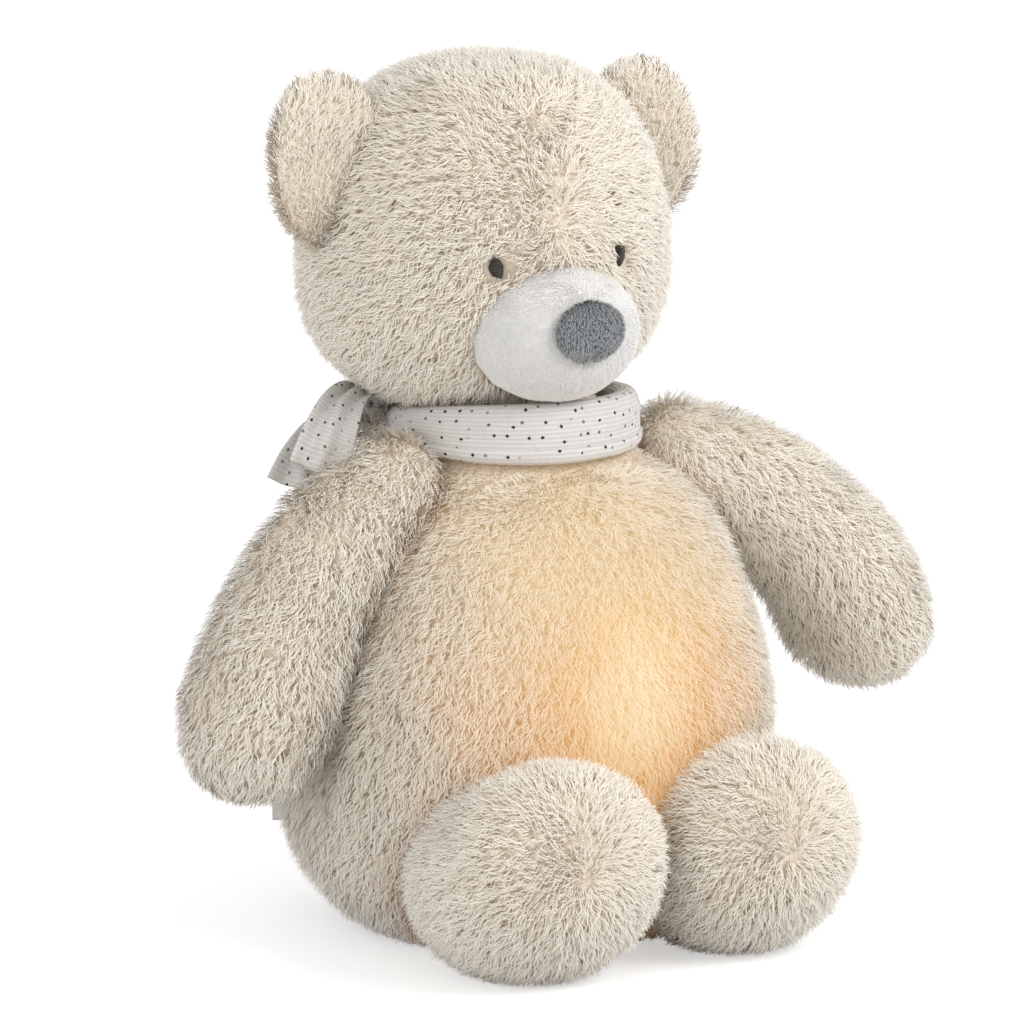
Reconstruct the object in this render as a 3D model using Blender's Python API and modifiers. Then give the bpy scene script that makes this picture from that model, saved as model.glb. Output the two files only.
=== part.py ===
"""A seated plush bear with a round light and sound module in a pocket behind its belly.

Metres, +Z up. The bear faces -Y, so its own right side is -X. The origin is the middle of the
flat seat under the torso.
"""

import math

import bmesh
import bpy
from mathutils import Euler, Matrix, Vector

# Clearances
GAP = 0.0003
JOINT_GAP = 0.0008
OVERRUN = 0.004
FLAT_CUT = 0.0005

# Torso
TORSO_HEIGHT = 0.192
TORSO_WIDTH = 0.173
TORSO_DEPTH = 0.154
NECK_SET_BACK = 0.010

# Head and what is sewn to it
HEAD_WIDTH = 0.1305
HEAD_DEPTH = 0.112
HEAD_HEIGHT = 0.121
HEAD_SET_BACK = 0.018
HEAD_LEAN = 0.0055
EAR_WIDTH = 0.046
EAR_HEIGHT = 0.063
EAR_THICKNESS = 0.015
RIGHT_EAR_SPREAD = 0.065
LEFT_EAR_SPREAD = 0.061
RIGHT_EAR_RISE = 0.0895
LEFT_EAR_RISE = 0.0840
EAR_CUP = 0.006
EAR_SPLAY = math.radians(9)
MUZZLE_WIDTH = 0.063
MUZZLE_DEPTH = 0.041
MUZZLE_HEIGHT = 0.050
MUZZLE_RISE = 0.0305
NOSE_WIDTH = 0.030
NOSE_DEPTH = 0.010
NOSE_HEIGHT = 0.0235
NOSE_RISE = 0.0345
EYE_WIDTH = 0.0055
EYE_DEPTH = 0.0040
EYE_HEIGHT = 0.0078
EYE_SPREAD = 0.0245
EYE_RISE = 0.0562
EYE_SINK = 0.0012

# Arms
ARM_GIRTH = 0.050
SHOULDER_SPREAD = 0.060
SHOULDER_DROP = 0.025
SHOULDER_BALL = 0.0185
RIGHT_ARM_REACH = 0.059
RIGHT_ARM_DROP = 0.107
LEFT_ARM_REACH = 0.083
LEFT_ARM_DROP = 0.093

# Legs
RIGHT_LEG_WIDTH = 0.078
RIGHT_LEG_THICKNESS = 0.072
LEFT_LEG_WIDTH = 0.071
LEFT_LEG_THICKNESS = 0.0705
LEG_LENGTH = 0.076
HIP_SPREAD = 0.042
HIP_FORWARD = 0.036
HIP_HEIGHT = 0.033
HIP_BALL = 0.029
HIP_WALL = 0.0082

# Scarf
SCARF_HEIGHT = 0.020
SCARF_THICKNESS = 0.009
SCARF_RISE = 0.0045
SCARF_RADIUS_SHARE = 0.248
SCARF_SLOPE = 0.006
SCARF_BULGE = 0.006
SCARF_REAR_SHARE = 0.72
KNOT_TURN = math.radians(128)
KNOT_WIDTH = 0.016
KNOT_HEIGHT = 0.017
KNOT_DEPTH = 0.012
KNOT_TUCK = 0.0022
TAIL_FACING = math.radians(30)
TAIL_WIDTH = 0.021
TAIL_THICKNESS = 0.0034
TAIL_FOLD = 0.0016
TAIL_LENGTH = 0.040

# Light and sound module
MODULE_RADIUS = 0.040
MODULE_WALL = 0.002
MODULE_REAR_WALL = 0.0032
BELLY_COVER = 0.0085
REAR_HOUSING_DEPTH = 0.020
FRONT_HOUSING_DEPTH = 0.013
SEAT_RING_WIDTH = 0.005
SEAT_RING_RISE = 0.003
SEAT_RING_THICKNESS = 0.003
DOME_DEPTH = 0.026
DOME_RADIUS = 0.0355
DOME_WALL = 0.0016
DOME_FLANGE = 0.0021
DOME_FLANGE_THICKNESS = 0.0022
LIP_THICKNESS = 0.0017
BOARD_THICKNESS = 0.0016
LED_COUNT = 6
LED_RING_RADIUS = 0.017
LED_RADIUS = 0.0025
LED_HEIGHT = 0.0040

# Battery bay
CELL_COUNT = 3
CELL_RADIUS = 0.00525
CELL_LENGTH = 0.0435
CELL_NUB_RADIUS = 0.0019
CELL_NUB_LENGTH = 0.0010
CELL_PITCH = 0.0110
BAY_LENGTH = 0.0516
BAY_WIDTH = 0.0346
BAY_DEPTH = 0.0133
BAY_WALL = 0.0012
BAY_DROP = 0.007
SPRING_RADIUS = 0.0028
SPRING_WIRE = 0.00035
SPRING_TURNS = 3
SPRING_TURN_POINTS = 6
SPRING_LENGTH = 0.0054
PLATE_SIZE = 0.0080
PLATE_THICKNESS = 0.0005
DOOR_LENGTH = 0.0550
DOOR_WIDTH = 0.0380
DOOR_THICKNESS = 0.0016
DOOR_CORNER = 0.0015
DOOR_TAB_RADIUS = 0.0045
DOOR_TAB_DROP = 0.0290
DOOR_TAB_BOSS = 0.0032

# Buttons, switch, speaker, microphone and their board
BUTTON_RADIUS = 0.0036
BUTTON_FLANGE = 0.0008
BUTTON_PROUD = 0.0008
BUTTON_TRAVEL = 0.0008
BUTTON_PITCH = 0.0105
BUTTON_RISE = 0.0190
BUTTON_ROW_START = 0.0240
BUTTON_LENGTH = 0.0066
STEM_SHARE = 0.6
FLANGE_THICKNESS = 0.0010
SWITCH_WIDTH = 0.0040
SWITCH_HEIGHT = 0.0030
SWITCH_TRAVEL = 0.0040
SWITCH_RISE = 0.0275
SWITCH_START = 0.0080
SWITCH_FLANGE = 0.0010
CONTROL_BOARD_LENGTH = 0.0320
CONTROL_BOARD_WIDTH = 0.0120
SPEAKER_RADIUS = 0.0090
SPEAKER_THICKNESS = 0.0042
SPEAKER_SIDE = 0.0160
SPEAKER_RISE = 0.0212
GRILLE_HOLE = 0.0008
GRILLE_RING = 0.0045
GRILLE_COUNT = 6
MICROPHONE_RADIUS = 0.0022
MICROPHONE_LENGTH = 0.0030
MICROPHONE_SIDE = 0.0065
MICROPHONE_RISE = 0.0285
CABLE_RADIUS = 0.0009
CABLE_SIDE = 0.0190

# Screws
SCREW_HEAD_RADIUS = 0.0027
SCREW_HEAD_HEIGHT = 0.0014
SCREW_RADIUS = 0.0013
SCREW_LENGTH = 0.0100
SCREW_CIRCLE = 0.0342
SCREW_TURNS = (math.radians(90), math.radians(200), math.radians(340))
POST_RADIUS = 0.0034

# Pocket, its lining and its flap
LINING_THICKNESS = 0.0012
LINING_CLEARANCE = 0.0004
BACK_CUT = 0.058
FLAP_RADIUS = 0.050
FLAP_SEAM = 0.0009
STRIP_WIDTH = 0.030
STRIP_HEIGHT = 0.0040
STRIP_THICKNESS = 0.0005
LABEL_WIDTH = 0.010
LABEL_LENGTH = 0.0080
LABEL_SEWN = 0.0035
LABEL_THICKNESS = 0.0006
LABEL_RISE = 0.041
LABEL_TURN = math.radians(28)

# Smoothness: sides of a stuffed form's coarse cage, and steps of a turned shape
CAGE_SIDES = 12
LIMB_SIDES = 8
BAND_STATIONS = 16
TURN_STEPS = 24
SMALL_TURN_STEPS = 10
BALL_STEPS = 18
MERGE_DISTANCE = 0.00001
ARC_POINTS = 6

# A cage is drawn in by its subdivision; dividing by this share brings its rings back to size
SMOOTHING_SHARES = {sides: (2 + math.cos(2 * math.pi / sides)) / 3 for sides in (8, 12)}

# Sections of the stuffed forms: height share, width share, depth share, set-back share
TORSO_SHARES = (
    (0.000, 0.56, 0.56, 0.0),
    (0.035, 0.76, 0.76, 0.3),
    (0.110, 0.94, 0.96, 0.8),
    (0.230, 1.03, 1.06, 1.0),
    (0.370, 1.03, 1.04, 0.6),
    (0.480, 0.99, 1.00, 0.1),
    (0.580, 0.93, 0.94, 0.05),
    (0.720, 0.82, 0.83, 0.2),
    (0.830, 0.69, 0.69, 0.5),
    (0.895, 0.49, 0.50, 0.8),
    (0.932, 0.37, 0.39, 1.0),
    (1.010, 0.34, 0.36, 1.0),
)
HEAD_SHARES = (
    (-0.030, 0.34, 0.36, 0.0),
    (0.040, 0.63, 0.62, 0.0),
    (0.150, 0.92, 0.89, 0.0),
    (0.300, 1.02, 0.99, 0.0),
    (0.450, 1.02, 1.02, 0.0),
    (0.600, 0.98, 1.00, 0.0),
    (0.760, 0.88, 0.91, 0.0),
    (0.890, 0.71, 0.74, 0.0),
    (0.975, 0.45, 0.48, 0.0),
)
EAR_SHARES = (
    (0.04, 0.46, 0.60, 0.0),
    (0.24, 0.96, 0.96, 0.0),
    (0.52, 1.08, 1.06, 0.0),
    (0.80, 0.90, 0.96, 0.0),
    (0.97, 0.42, 0.55, 0.0),
)
# Sections of a ball-like form, along its axis from end to end
BALL_SHARES = ((0.10, 0.66), (0.50, 1.06), (0.90, 0.66))
MUZZLE_SHARES = ((0.03, 0.88), (0.25, 1.02), (0.52, 1.00), (0.76, 0.86), (0.93, 0.56))
# Path of an arm from shoulder to paw: outward share, downward share, girth share
ARM_SHARES = (
    (0.00, 0.00, 0.78),
    (0.32, 0.12, 0.86),
    (0.62, 0.33, 0.95),
    (0.82, 0.53, 1.00),
    (0.93, 0.71, 1.05),
    (0.98, 0.85, 0.96),
    (1.00, 0.95, 0.62),
)
# Sections of a leg from hip to toe: length share, width share, thickness share, lift share
LEG_SHARES = (
    (0.00, 0.80, 0.84, 0.00),
    (0.20, 0.92, 0.95, 0.00),
    (0.42, 1.00, 1.02, 0.03),
    (0.64, 1.04, 1.06, 0.10),
    (0.82, 0.94, 0.93, 0.15),
    (0.95, 0.62, 0.60, 0.17),
)
# Section of the scarf, going round: thickness share, height share. The step is its turned-up fold.
BAND_SHARES = (
    (0.30, 0.50),
    (0.48, 0.25),
    (0.46, -0.12),
    (0.34, -0.24),
    (0.50, -0.38),
    (0.18, -0.52),
    (-0.38, -0.40),
    (-0.40, 0.40),
)
# Outline of a scarf end from the knot to its hem: length share, width share
TAIL_SHARES = ((0.00, 0.36), (0.20, 0.40), (0.42, 0.48), (0.62, 0.68), (0.82, 0.90), (1.00, 1.00))
# Path of each scarf end: its start in shares of the knot, then its crest and hem in shares of its
# length, measured from that start
FRONT_TAIL_SHARES = ((-0.37, -0.33, 0.18), (-0.365, -0.206, 0.353), (-0.678, -0.250, -0.350))
BACK_TAIL_SHARES = ((-0.60, -0.22, -0.34), (-0.353, 0.023, 0.260), (-0.700, -0.115, -0.352))
TAIL_FOLD_SHARES = (-1.0, -0.5, 0.0, 0.5, 1.0)
CABLE_SHARES = (0.0, 0.2, 0.5, 0.8, 1.0)
ARM_SWEEP = tuple(math.radians(degrees) for degrees in (0, 15, 30, 45, 60))
SOCKET_SHARE = 1.04
LEG_SWEEP = tuple(math.radians(degrees) for degrees in (0, 15, 30, 45))

# Colours and finish
CREAM_PLUSH = ((0.78, 0.68, 0.57, 1), 0.95, 0.0)
WHITE_VELOUR = ((0.86, 0.85, 0.83, 1), 0.9, 0.0)
GREY_VELOUR = ((0.22, 0.24, 0.26, 1), 0.9, 0.0)
DARK_THREAD = ((0.04, 0.035, 0.03, 1), 0.7, 0.0)
MUSLIN = ((0.84, 0.83, 0.82, 1), 0.9, 0.0)
LINING = ((0.75, 0.72, 0.68, 1), 0.9, 0.0)
STRIP_TAPE = ((0.80, 0.79, 0.76, 1), 0.9, 0.0)
FROSTED_PLASTIC = ((0.93, 0.88, 0.76, 1), 0.35, 0.0)
WHITE_PLASTIC = ((0.82, 0.81, 0.78, 1), 0.45, 0.0)
GREY_PLASTIC = ((0.45, 0.47, 0.49, 1), 0.45, 0.0)
GREEN_BOARD = ((0.03, 0.20, 0.09, 1), 0.4, 0.0)
WARM_LED = ((0.95, 0.78, 0.35, 1), 0.2, 0.0)
BLACK_PLASTIC = ((0.03, 0.03, 0.03, 1), 0.5, 0.0)
CELL_SLEEVE = ((0.15, 0.30, 0.22, 1), 0.35, 0.0)
SPRING_STEEL = ((0.60, 0.60, 0.60, 1), 0.3, 1.0)
SCREW_STEEL = ((0.55, 0.55, 0.56, 1), 0.35, 1.0)
CABLE_JACKET = ((0.45, 0.05, 0.04, 1), 0.5, 0.0)

# Places that follow from the sizes above
DOME_BASE = REAR_HOUSING_DEPTH + FRONT_HOUSING_DEPTH
MODULE_LENGTH = DOME_BASE + DOME_FLANGE + DOME_DEPTH
SHELL_RADIUS = MODULE_RADIUS - MODULE_WALL
MODULE_REAR_Y = MODULE_LENGTH + BELLY_COVER + LINING_THICKNESS + LINING_CLEARANCE - TORSO_DEPTH / 2
HEAD_BASE = TORSO_HEIGHT + GAP
HEAD_CENTRE_Y = NECK_SET_BACK + HEAD_SET_BACK
POCKET_RADIUS = MODULE_RADIUS + LINING_CLEARANCE + LINING_THICKNESS + GAP
SHOULDER_HEIGHT = TORSO_HEIGHT - SHOULDER_DROP
SCARF_RADIUS = SCARF_RADIUS_SHARE * TORSO_DEPTH
# The pocket clears both hip sockets by HIP_WALL
HIP_TO_POCKET = HIP_BALL + HIP_WALL + POCKET_RADIUS
MODULE_HEIGHT = HIP_HEIGHT + math.sqrt(HIP_TO_POCKET**2 - HIP_SPREAD**2)


def clear_scene():
    for thing in list(bpy.data.objects):
        bpy.data.objects.remove(thing)


def new_collection(name):
    collection = bpy.data.collections.new(name)
    bpy.context.scene.collection.children.link(collection)
    return collection


def material(name, finish):
    colour, roughness, metallic = finish
    made = bpy.data.materials.new(name)
    made.use_nodes = True
    shader = made.node_tree.nodes["Principled BSDF"]
    shader.inputs["Base Color"].default_value = colour
    shader.inputs["Roughness"].default_value = roughness
    shader.inputs["Metallic"].default_value = metallic
    return made


def add_part(name, mesh, finish, parent=None, location=(0, 0, 0), rotation=(0, 0, 0)):
    """A visible piece of the toy, with a material of its own."""
    part = bpy.data.objects.new(name, mesh)
    part.location = location
    part.rotation_euler = rotation
    part.parent = parent
    mesh.materials.append(material(name, finish))
    mesh.shade_smooth()
    mesh.set_sharp_from_angle(angle=math.radians(40))
    PARTS.objects.link(part)
    return part


def add_cutter(name, mesh, parent=None, location=(0, 0, 0), rotation=(0, 0, 0)):
    cutter = bpy.data.objects.new(name, mesh)
    cutter.location = location
    cutter.rotation_euler = rotation
    cutter.parent = parent
    cutter.hide_render = True
    cutter.display_type = "WIRE"
    CUTTERS.objects.link(cutter)
    return cutter


def add_empty(name, location, rotation=(0, 0, 0)):
    empty = bpy.data.objects.new(name, None)
    empty.location = location
    empty.rotation_euler = rotation
    PARTS.objects.link(empty)
    return empty


def combine(part, other, operation="DIFFERENCE"):
    step = part.modifiers.new(operation.lower() + " " + other.name, "BOOLEAN")
    step.operation = operation
    step.object = other
    return part


def smooth_cage(part, levels=1):
    step = part.modifiers.new("smooth cage", "SUBSURF")
    step.levels = levels
    step.render_levels = levels
    return part


def mesh_of(build):
    """A mesh filled by a function that takes a bmesh."""
    mesh = bpy.data.meshes.new("shape")
    shape = bmesh.new()
    build(shape)
    bmesh.ops.recalc_face_normals(shape, faces=shape.faces)
    shape.to_mesh(mesh)
    shape.free()
    return mesh


def box_mesh(size_x, size_y, size_z):
    def build(shape):
        bmesh.ops.create_cube(shape, size=1, matrix=Matrix.Diagonal((size_x, size_y, size_z, 1)))

    return mesh_of(build)


def rod_mesh(radius, length, steps=SMALL_TURN_STEPS):
    """A rod from the origin up along +Z."""

    def build(shape):
        bmesh.ops.create_cone(
            shape,
            cap_ends=True,
            segments=steps,
            radius1=radius,
            radius2=radius,
            depth=length,
            matrix=Matrix.Translation((0, 0, length / 2)),
        )

    return mesh_of(build)


def ball_mesh(radius):
    def build(shape):
        bmesh.ops.create_uvsphere(shape, u_segments=BALL_STEPS, v_segments=BALL_STEPS // 2, radius=radius)

    return mesh_of(build)


def lofted_mesh(rings, start, end):
    """A closed cage through rings of points, each end gathered to a point."""

    def build(shape):
        loops = [[shape.verts.new(point) for point in ring] for ring in rings]
        first = shape.verts.new(start)
        last = shape.verts.new(end)
        sides = len(rings[0])
        for lower, upper in zip(loops, loops[1:]):
            for side in range(sides):
                after = (side + 1) % sides
                shape.faces.new((lower[side], lower[after], upper[after], upper[side]))
        for side in range(sides):
            after = (side + 1) % sides
            shape.faces.new((first, loops[0][after], loops[0][side]))
            shape.faces.new((last, loops[-1][side], loops[-1][after]))

    return mesh_of(build)


def ring_points(centre, across, along, sides):
    """Points of an ellipse whose half axes are the vectors across and along."""
    turns = [2 * math.pi * side / sides for side in range(sides)]
    swell = 1 / SMOOTHING_SHARES[sides]
    return [centre + (across * math.cos(t) + along * math.sin(t)) * swell for t in turns]


def upright_form(shares, width, depth, height, set_back=0, grow=0, floor=0, sides=CAGE_SIDES):
    """The cage of a stuffed form from its level sections, from z = floor up."""
    rings = []
    for height_share, width_share, depth_share, back_share in shares:
        centre = Vector((0, set_back * back_share, floor + height * height_share))
        across = Vector((width / 2 * width_share + grow, 0, 0))
        along = Vector((0, depth / 2 * depth_share + grow, 0))
        rings.append(ring_points(centre, across, along, sides))
    start = Vector((0, rings[0][0].y, rings[0][0].z - grow))
    end = Vector((0, rings[-1][0].y, floor + height * max(1, shares[-1][0]) + grow))
    return lofted_mesh(rings, start, end)


def ball_form(shares, width, depth, height):
    """The cage of a rounded form whose axis runs forward from the origin, along -Y."""
    rings = []
    for length_share, girth_share in shares:
        centre = Vector((0, -depth * length_share, 0))
        across = Vector((width / 2 * girth_share, 0, 0))
        along = Vector((0, 0, height / 2 * girth_share))
        rings.append(ring_points(centre, across, along, LIMB_SIDES))
    return lofted_mesh(rings, Vector((0, 0, 0)), Vector((0, -depth, 0)))


def turned(name, profile, finish, parent, steps=TURN_STEPS):
    """A piece turned about its own Z axis, from a profile of (radius, height) points."""
    part = add_part(name, profile_mesh(profile), finish, parent)
    return spin(part, steps)


def profile_mesh(profile):
    mesh = bpy.data.meshes.new("profile")
    points = [(radius, 0, height) for radius, height in profile]
    edges = [(index, (index + 1) % len(points)) for index in range(len(points))]
    mesh.from_pydata(points, edges, [])
    return mesh


def spin(part, steps):
    step = part.modifiers.new("turn", "SCREW")
    step.steps = steps
    step.render_steps = steps
    step.use_merge_vertices = True
    step.merge_threshold = MERGE_DISTANCE
    return part


def arc_down(radius, rise, top):
    """Points of a quarter ellipse from the axis at the top out to its full radius."""
    turns = [math.pi / 2 * index / (ARC_POINTS - 1) for index in range(ARC_POINTS)]
    return [(radius * math.sin(t), top - rise * (1 - math.cos(t))) for t in turns]


def torso_cage(grow=0):
    """The torso's cage, as deep below the floor as its seat is cut."""
    sizes = (TORSO_WIDTH, TORSO_DEPTH, TORSO_HEIGHT, NECK_SET_BACK)
    return upright_form(TORSO_SHARES, *sizes, grow=grow, floor=-FLAT_CUT)


def torso_cutter(name, grow):
    return smooth_cage(add_cutter(name, torso_cage(grow)))


def floor_cutter():
    reach = TORSO_WIDTH * 2
    block = box_mesh(reach, reach, reach)
    return add_cutter("below the floor", block, location=(0, 0, -reach / 2))


def level_cutter(name, height):
    reach = TORSO_WIDTH
    block = box_mesh(reach, reach, reach)
    return add_cutter(name, block, location=(0, 0, height + reach / 2))


def make_torso(floor):
    torso = smooth_cage(add_part("torso", torso_cage(), CREAM_PLUSH))
    combine(torso, floor)
    combine(torso, level_cutter("above the neck", TORSO_HEIGHT))
    return torso


def pocket_profile(radius, nose, mouth):
    """A blind round pocket: a domed end at height nose, open past height mouth."""
    dome_rise = nose - DOME_BASE
    return arc_down(radius, dome_rise, nose) + [(radius, mouth), (0, mouth)]


def cut_pocket(torso, module):
    """The pocket for the module, and the flat seat and seam of the back flap."""
    nose = MODULE_LENGTH + LINING_CLEARANCE + LINING_THICKNESS + GAP
    mouth = MODULE_REAR_Y - TORSO_DEPTH / 2 - OVERRUN
    cutter = add_cutter("pocket", profile_mesh(pocket_profile(POCKET_RADIUS, nose, mouth)), module)
    combine(torso, spin(cutter, TURN_STEPS))
    seat_depth = TORSO_DEPTH
    disc = rod_mesh(FLAP_RADIUS + FLAP_SEAM, seat_depth, TURN_STEPS)
    place = (0, BACK_CUT + seat_depth, MODULE_HEIGHT)
    combine(torso, add_cutter("flap seat", disc, location=place, rotation=(math.pi / 2, 0, 0)))


def make_back_flap():
    """The padded flap over the pocket: the part of the torso's back outside its flat cut."""
    flap = smooth_cage(add_part("back_flap", torso_cage(), CREAM_PLUSH))
    face = BACK_CUT + (STRIP_THICKNESS + GAP) * 2 + GAP
    reach = TORSO_DEPTH
    disc = rod_mesh(FLAP_RADIUS, reach, TURN_STEPS)
    place = (0, face + reach, MODULE_HEIGHT)
    cutter = add_cutter("flap outline", disc, location=place, rotation=(math.pi / 2, 0, 0))
    combine(flap, cutter, "INTERSECT")
    return flap


def make_lining(module):
    inner = MODULE_RADIUS + LINING_CLEARANCE
    outer = inner + LINING_THICKNESS
    nose = MODULE_LENGTH + LINING_CLEARANCE
    mouth = MODULE_REAR_Y - BACK_CUT
    outside = arc_down(outer, nose + LINING_THICKNESS - DOME_BASE, nose + LINING_THICKNESS)
    inside = arc_down(inner, nose - DOME_BASE, nose)
    profile = outside + [(outer, mouth), (inner, mouth)] + inside[::-1]
    turned("pocket_lining", profile, LINING, module)


def make_closure_strips():
    """Hook-and-loop strips under the pocket's mouth, one on the torso and one on the flap."""
    rise = MODULE_HEIGHT - (POCKET_RADIUS + FLAP_RADIUS) / 2
    pitch = STRIP_THICKNESS + GAP
    for index, name in enumerate(("loop_strip", "hook_strip")):
        strip = box_mesh(STRIP_WIDTH, STRIP_THICKNESS, STRIP_HEIGHT)
        middle = BACK_CUT + pitch * (index + 1) - STRIP_THICKNESS / 2
        add_part(name, strip, STRIP_TAPE, location=(0, middle, rise))


def make_label():
    """A plain sewn-in fabric label standing out of the side seam."""
    share = (LABEL_RISE + FLAT_CUT) / TORSO_HEIGHT
    half_width, half_depth, middle = torso_section(share)
    label = box_mesh(LABEL_LENGTH, LABEL_THICKNESS, LABEL_WIDTH)
    outward = Vector((-math.cos(LABEL_TURN), math.sin(LABEL_TURN), 0))
    side = -half_width * math.cos(LABEL_TURN)
    root = Vector((side, middle + half_depth * math.sin(LABEL_TURN), LABEL_RISE))
    place = root + outward * (LABEL_LENGTH / 2 - LABEL_SEWN)
    part = add_part("seam_label", label, MUSLIN, location=place, rotation=(0, 0, -LABEL_TURN))
    combine(part, torso_cutter("label root", GAP))


def torso_section(share):
    """Half width, half depth and set-back of the torso at a share of its height."""
    for lower, upper in zip(TORSO_SHARES, TORSO_SHARES[1:]):
        if share <= upper[0]:
            break
    blend = (share - lower[0]) / (upper[0] - lower[0])
    width, depth, back = (low + (high - low) * blend for low, high in zip(lower[1:], upper[1:]))
    return TORSO_WIDTH / 2 * width, TORSO_DEPTH / 2 * depth, NECK_SET_BACK * back


def make_head(turning):
    cage = upright_form(HEAD_SHARES, HEAD_WIDTH, HEAD_DEPTH, HEAD_HEIGHT)
    head = smooth_cage(add_part("head", cage, CREAM_PLUSH, turning))
    head.location = (-HEAD_LEAN, HEAD_SET_BACK, 0)
    reach = HEAD_WIDTH * 2
    block = box_mesh(reach, reach, reach)
    combine(head, add_cutter("below the head", block, turning, (0, 0, -reach / 2)))
    return head


def head_cutter(turning):
    """The head's outline, grown by the gap that its sewn-on pieces keep to it."""
    cage = upright_form(HEAD_SHARES, HEAD_WIDTH, HEAD_DEPTH, HEAD_HEIGHT, grow=GAP)
    cutter = smooth_cage(add_cutter("head outline", cage, turning))
    cutter.location = (-HEAD_LEAN, HEAD_SET_BACK, 0)
    return cutter


def make_ears(turning, outline):
    for name, side, spread, rise in (
        ("ear_right", -1, RIGHT_EAR_SPREAD, RIGHT_EAR_RISE),
        ("ear_left", 1, LEFT_EAR_SPREAD, LEFT_EAR_RISE),
    ):
        sizes = (EAR_WIDTH, EAR_THICKNESS, EAR_HEIGHT)
        cage = upright_form(EAR_SHARES, *sizes, floor=-EAR_HEIGHT / 2, sides=LIMB_SIDES)
        for corner in cage.vertices:
            corner.co.y -= EAR_CUP * (corner.co.x / (EAR_WIDTH / 2)) ** 2
        ear = smooth_cage(add_part(name, cage, CREAM_PLUSH, turning))
        ear.location = (side * spread - HEAD_LEAN, HEAD_SET_BACK, rise)
        ear.rotation_euler = Euler((0, side * EAR_SPLAY, 0))
        combine(ear, outline)


def make_face(turning, outline):
    front = HEAD_SET_BACK - HEAD_DEPTH / 2
    muzzle_back = front + MUZZLE_DEPTH / 2
    cage = ball_form(MUZZLE_SHARES, MUZZLE_WIDTH, MUZZLE_DEPTH, MUZZLE_HEIGHT)
    muzzle = smooth_cage(add_part("muzzle", cage, WHITE_VELOUR, turning))
    muzzle.location = (-HEAD_LEAN, muzzle_back, MUZZLE_RISE)
    combine(muzzle, outline)
    cage = ball_form(MUZZLE_SHARES, MUZZLE_WIDTH, MUZZLE_DEPTH + GAP, MUZZLE_HEIGHT)
    muzzle_outline = smooth_cage(add_cutter("muzzle outline", cage, turning))
    muzzle_outline.location = muzzle.location
    cage = ball_form(BALL_SHARES, NOSE_WIDTH, NOSE_DEPTH, NOSE_HEIGHT)
    nose = smooth_cage(add_part("nose", cage, GREY_VELOUR, turning))
    nose.location = (-HEAD_LEAN, muzzle_back - MUZZLE_DEPTH + NOSE_DEPTH / 2, NOSE_RISE)
    combine(nose, muzzle_outline)
    for name, side in (("eye_right", -1), ("eye_left", 1)):
        cage = ball_form(BALL_SHARES, EYE_WIDTH, EYE_DEPTH, EYE_HEIGHT)
        eye = smooth_cage(add_part(name, cage, DARK_THREAD, turning))
        across = EYE_SPREAD / (HEAD_WIDTH / 2)
        depth = HEAD_DEPTH / 2 * math.sqrt(1 - across**2)
        place = (side * EYE_SPREAD - HEAD_LEAN, HEAD_SET_BACK - depth + EYE_SINK, EYE_RISE)
        eye.location = place
        eye.rotation_euler = (0, 0, side * math.asin(across))
        combine(eye, outline)


def make_arm(name, side, reach, drop):
    """One arm: a stuffed form that swells to the paw, with a round root in the shoulder."""
    shoulder = add_empty(name + "_shoulder", (side * SHOULDER_SPREAD, 0, SHOULDER_HEIGHT))
    path = [Vector((side * reach * out, 0, -drop * down)) for out, down, girth in ARM_SHARES]
    tip = Vector((side * reach, 0, -drop))
    ends = path + [tip]
    rings = []
    for index, (out, down, girth) in enumerate(ARM_SHARES):
        along = (ends[index + 1] - path[max(index - 1, 0)]).normalized()
        across = Vector((0, ARM_GIRTH / 2 * girth, 0))
        outward = along.cross(Vector((0, 1, 0))) * (ARM_GIRTH / 2 * girth)
        rings.append(ring_points(path[index], across, outward, LIMB_SIDES))
    root = path[0] + (path[0] - path[1]).normalized() * SHOULDER_BALL / 2
    cage = lofted_mesh(rings, root, tip)
    return smooth_cage(add_part(name, cage, CREAM_PLUSH, shoulder)), shoulder


def make_leg(name, side, width, thickness):
    """One leg: a short stuffed form that swells to the foot, with a round root in the hip."""
    hip = add_empty(name + "_hip", (side * HIP_SPREAD, -HIP_FORWARD, HIP_HEIGHT))
    rings = []
    for length_share, width_share, thickness_share, lift_share in LEG_SHARES:
        centre = Vector((0, -LEG_LENGTH * length_share, thickness * lift_share))
        across = Vector((width / 2 * width_share, 0, 0))
        upward = Vector((0, 0, thickness / 2 * thickness_share))
        rings.append(ring_points(centre, across, upward, LIMB_SIDES))
    root = Vector((0, HIP_BALL / 2, 0))
    tip = Vector((0, -LEG_LENGTH, thickness * lift_share))
    return smooth_cage(add_part(name, lofted_mesh(rings, root, tip), CREAM_PLUSH, hip)), hip


def fit_limb(limb, joint, torso, ball_radius, sweep, axis_sign):
    """Shapes a limb to the torso through its whole swing, and seats its round root in a socket."""
    for index, turn in enumerate(sweep):
        pivot = add_empty(f"{limb.name}_swing_{index}", joint.location)
        pivot.rotation_euler = (-axis_sign * turn, 0, 0)
        cutter = torso_cutter(f"{limb.name}_torso_{index}", JOINT_GAP)
        cutter.parent = pivot
        cutter.location = -Vector(joint.location)
        combine(limb, cutter)
    combine(limb, add_cutter(limb.name + "_root", ball_mesh(ball_radius), joint), "UNION")
    socket = add_cutter(limb.name + "_socket", ball_mesh(ball_radius * SOCKET_SHARE), joint)
    combine(torso, socket)


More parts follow.
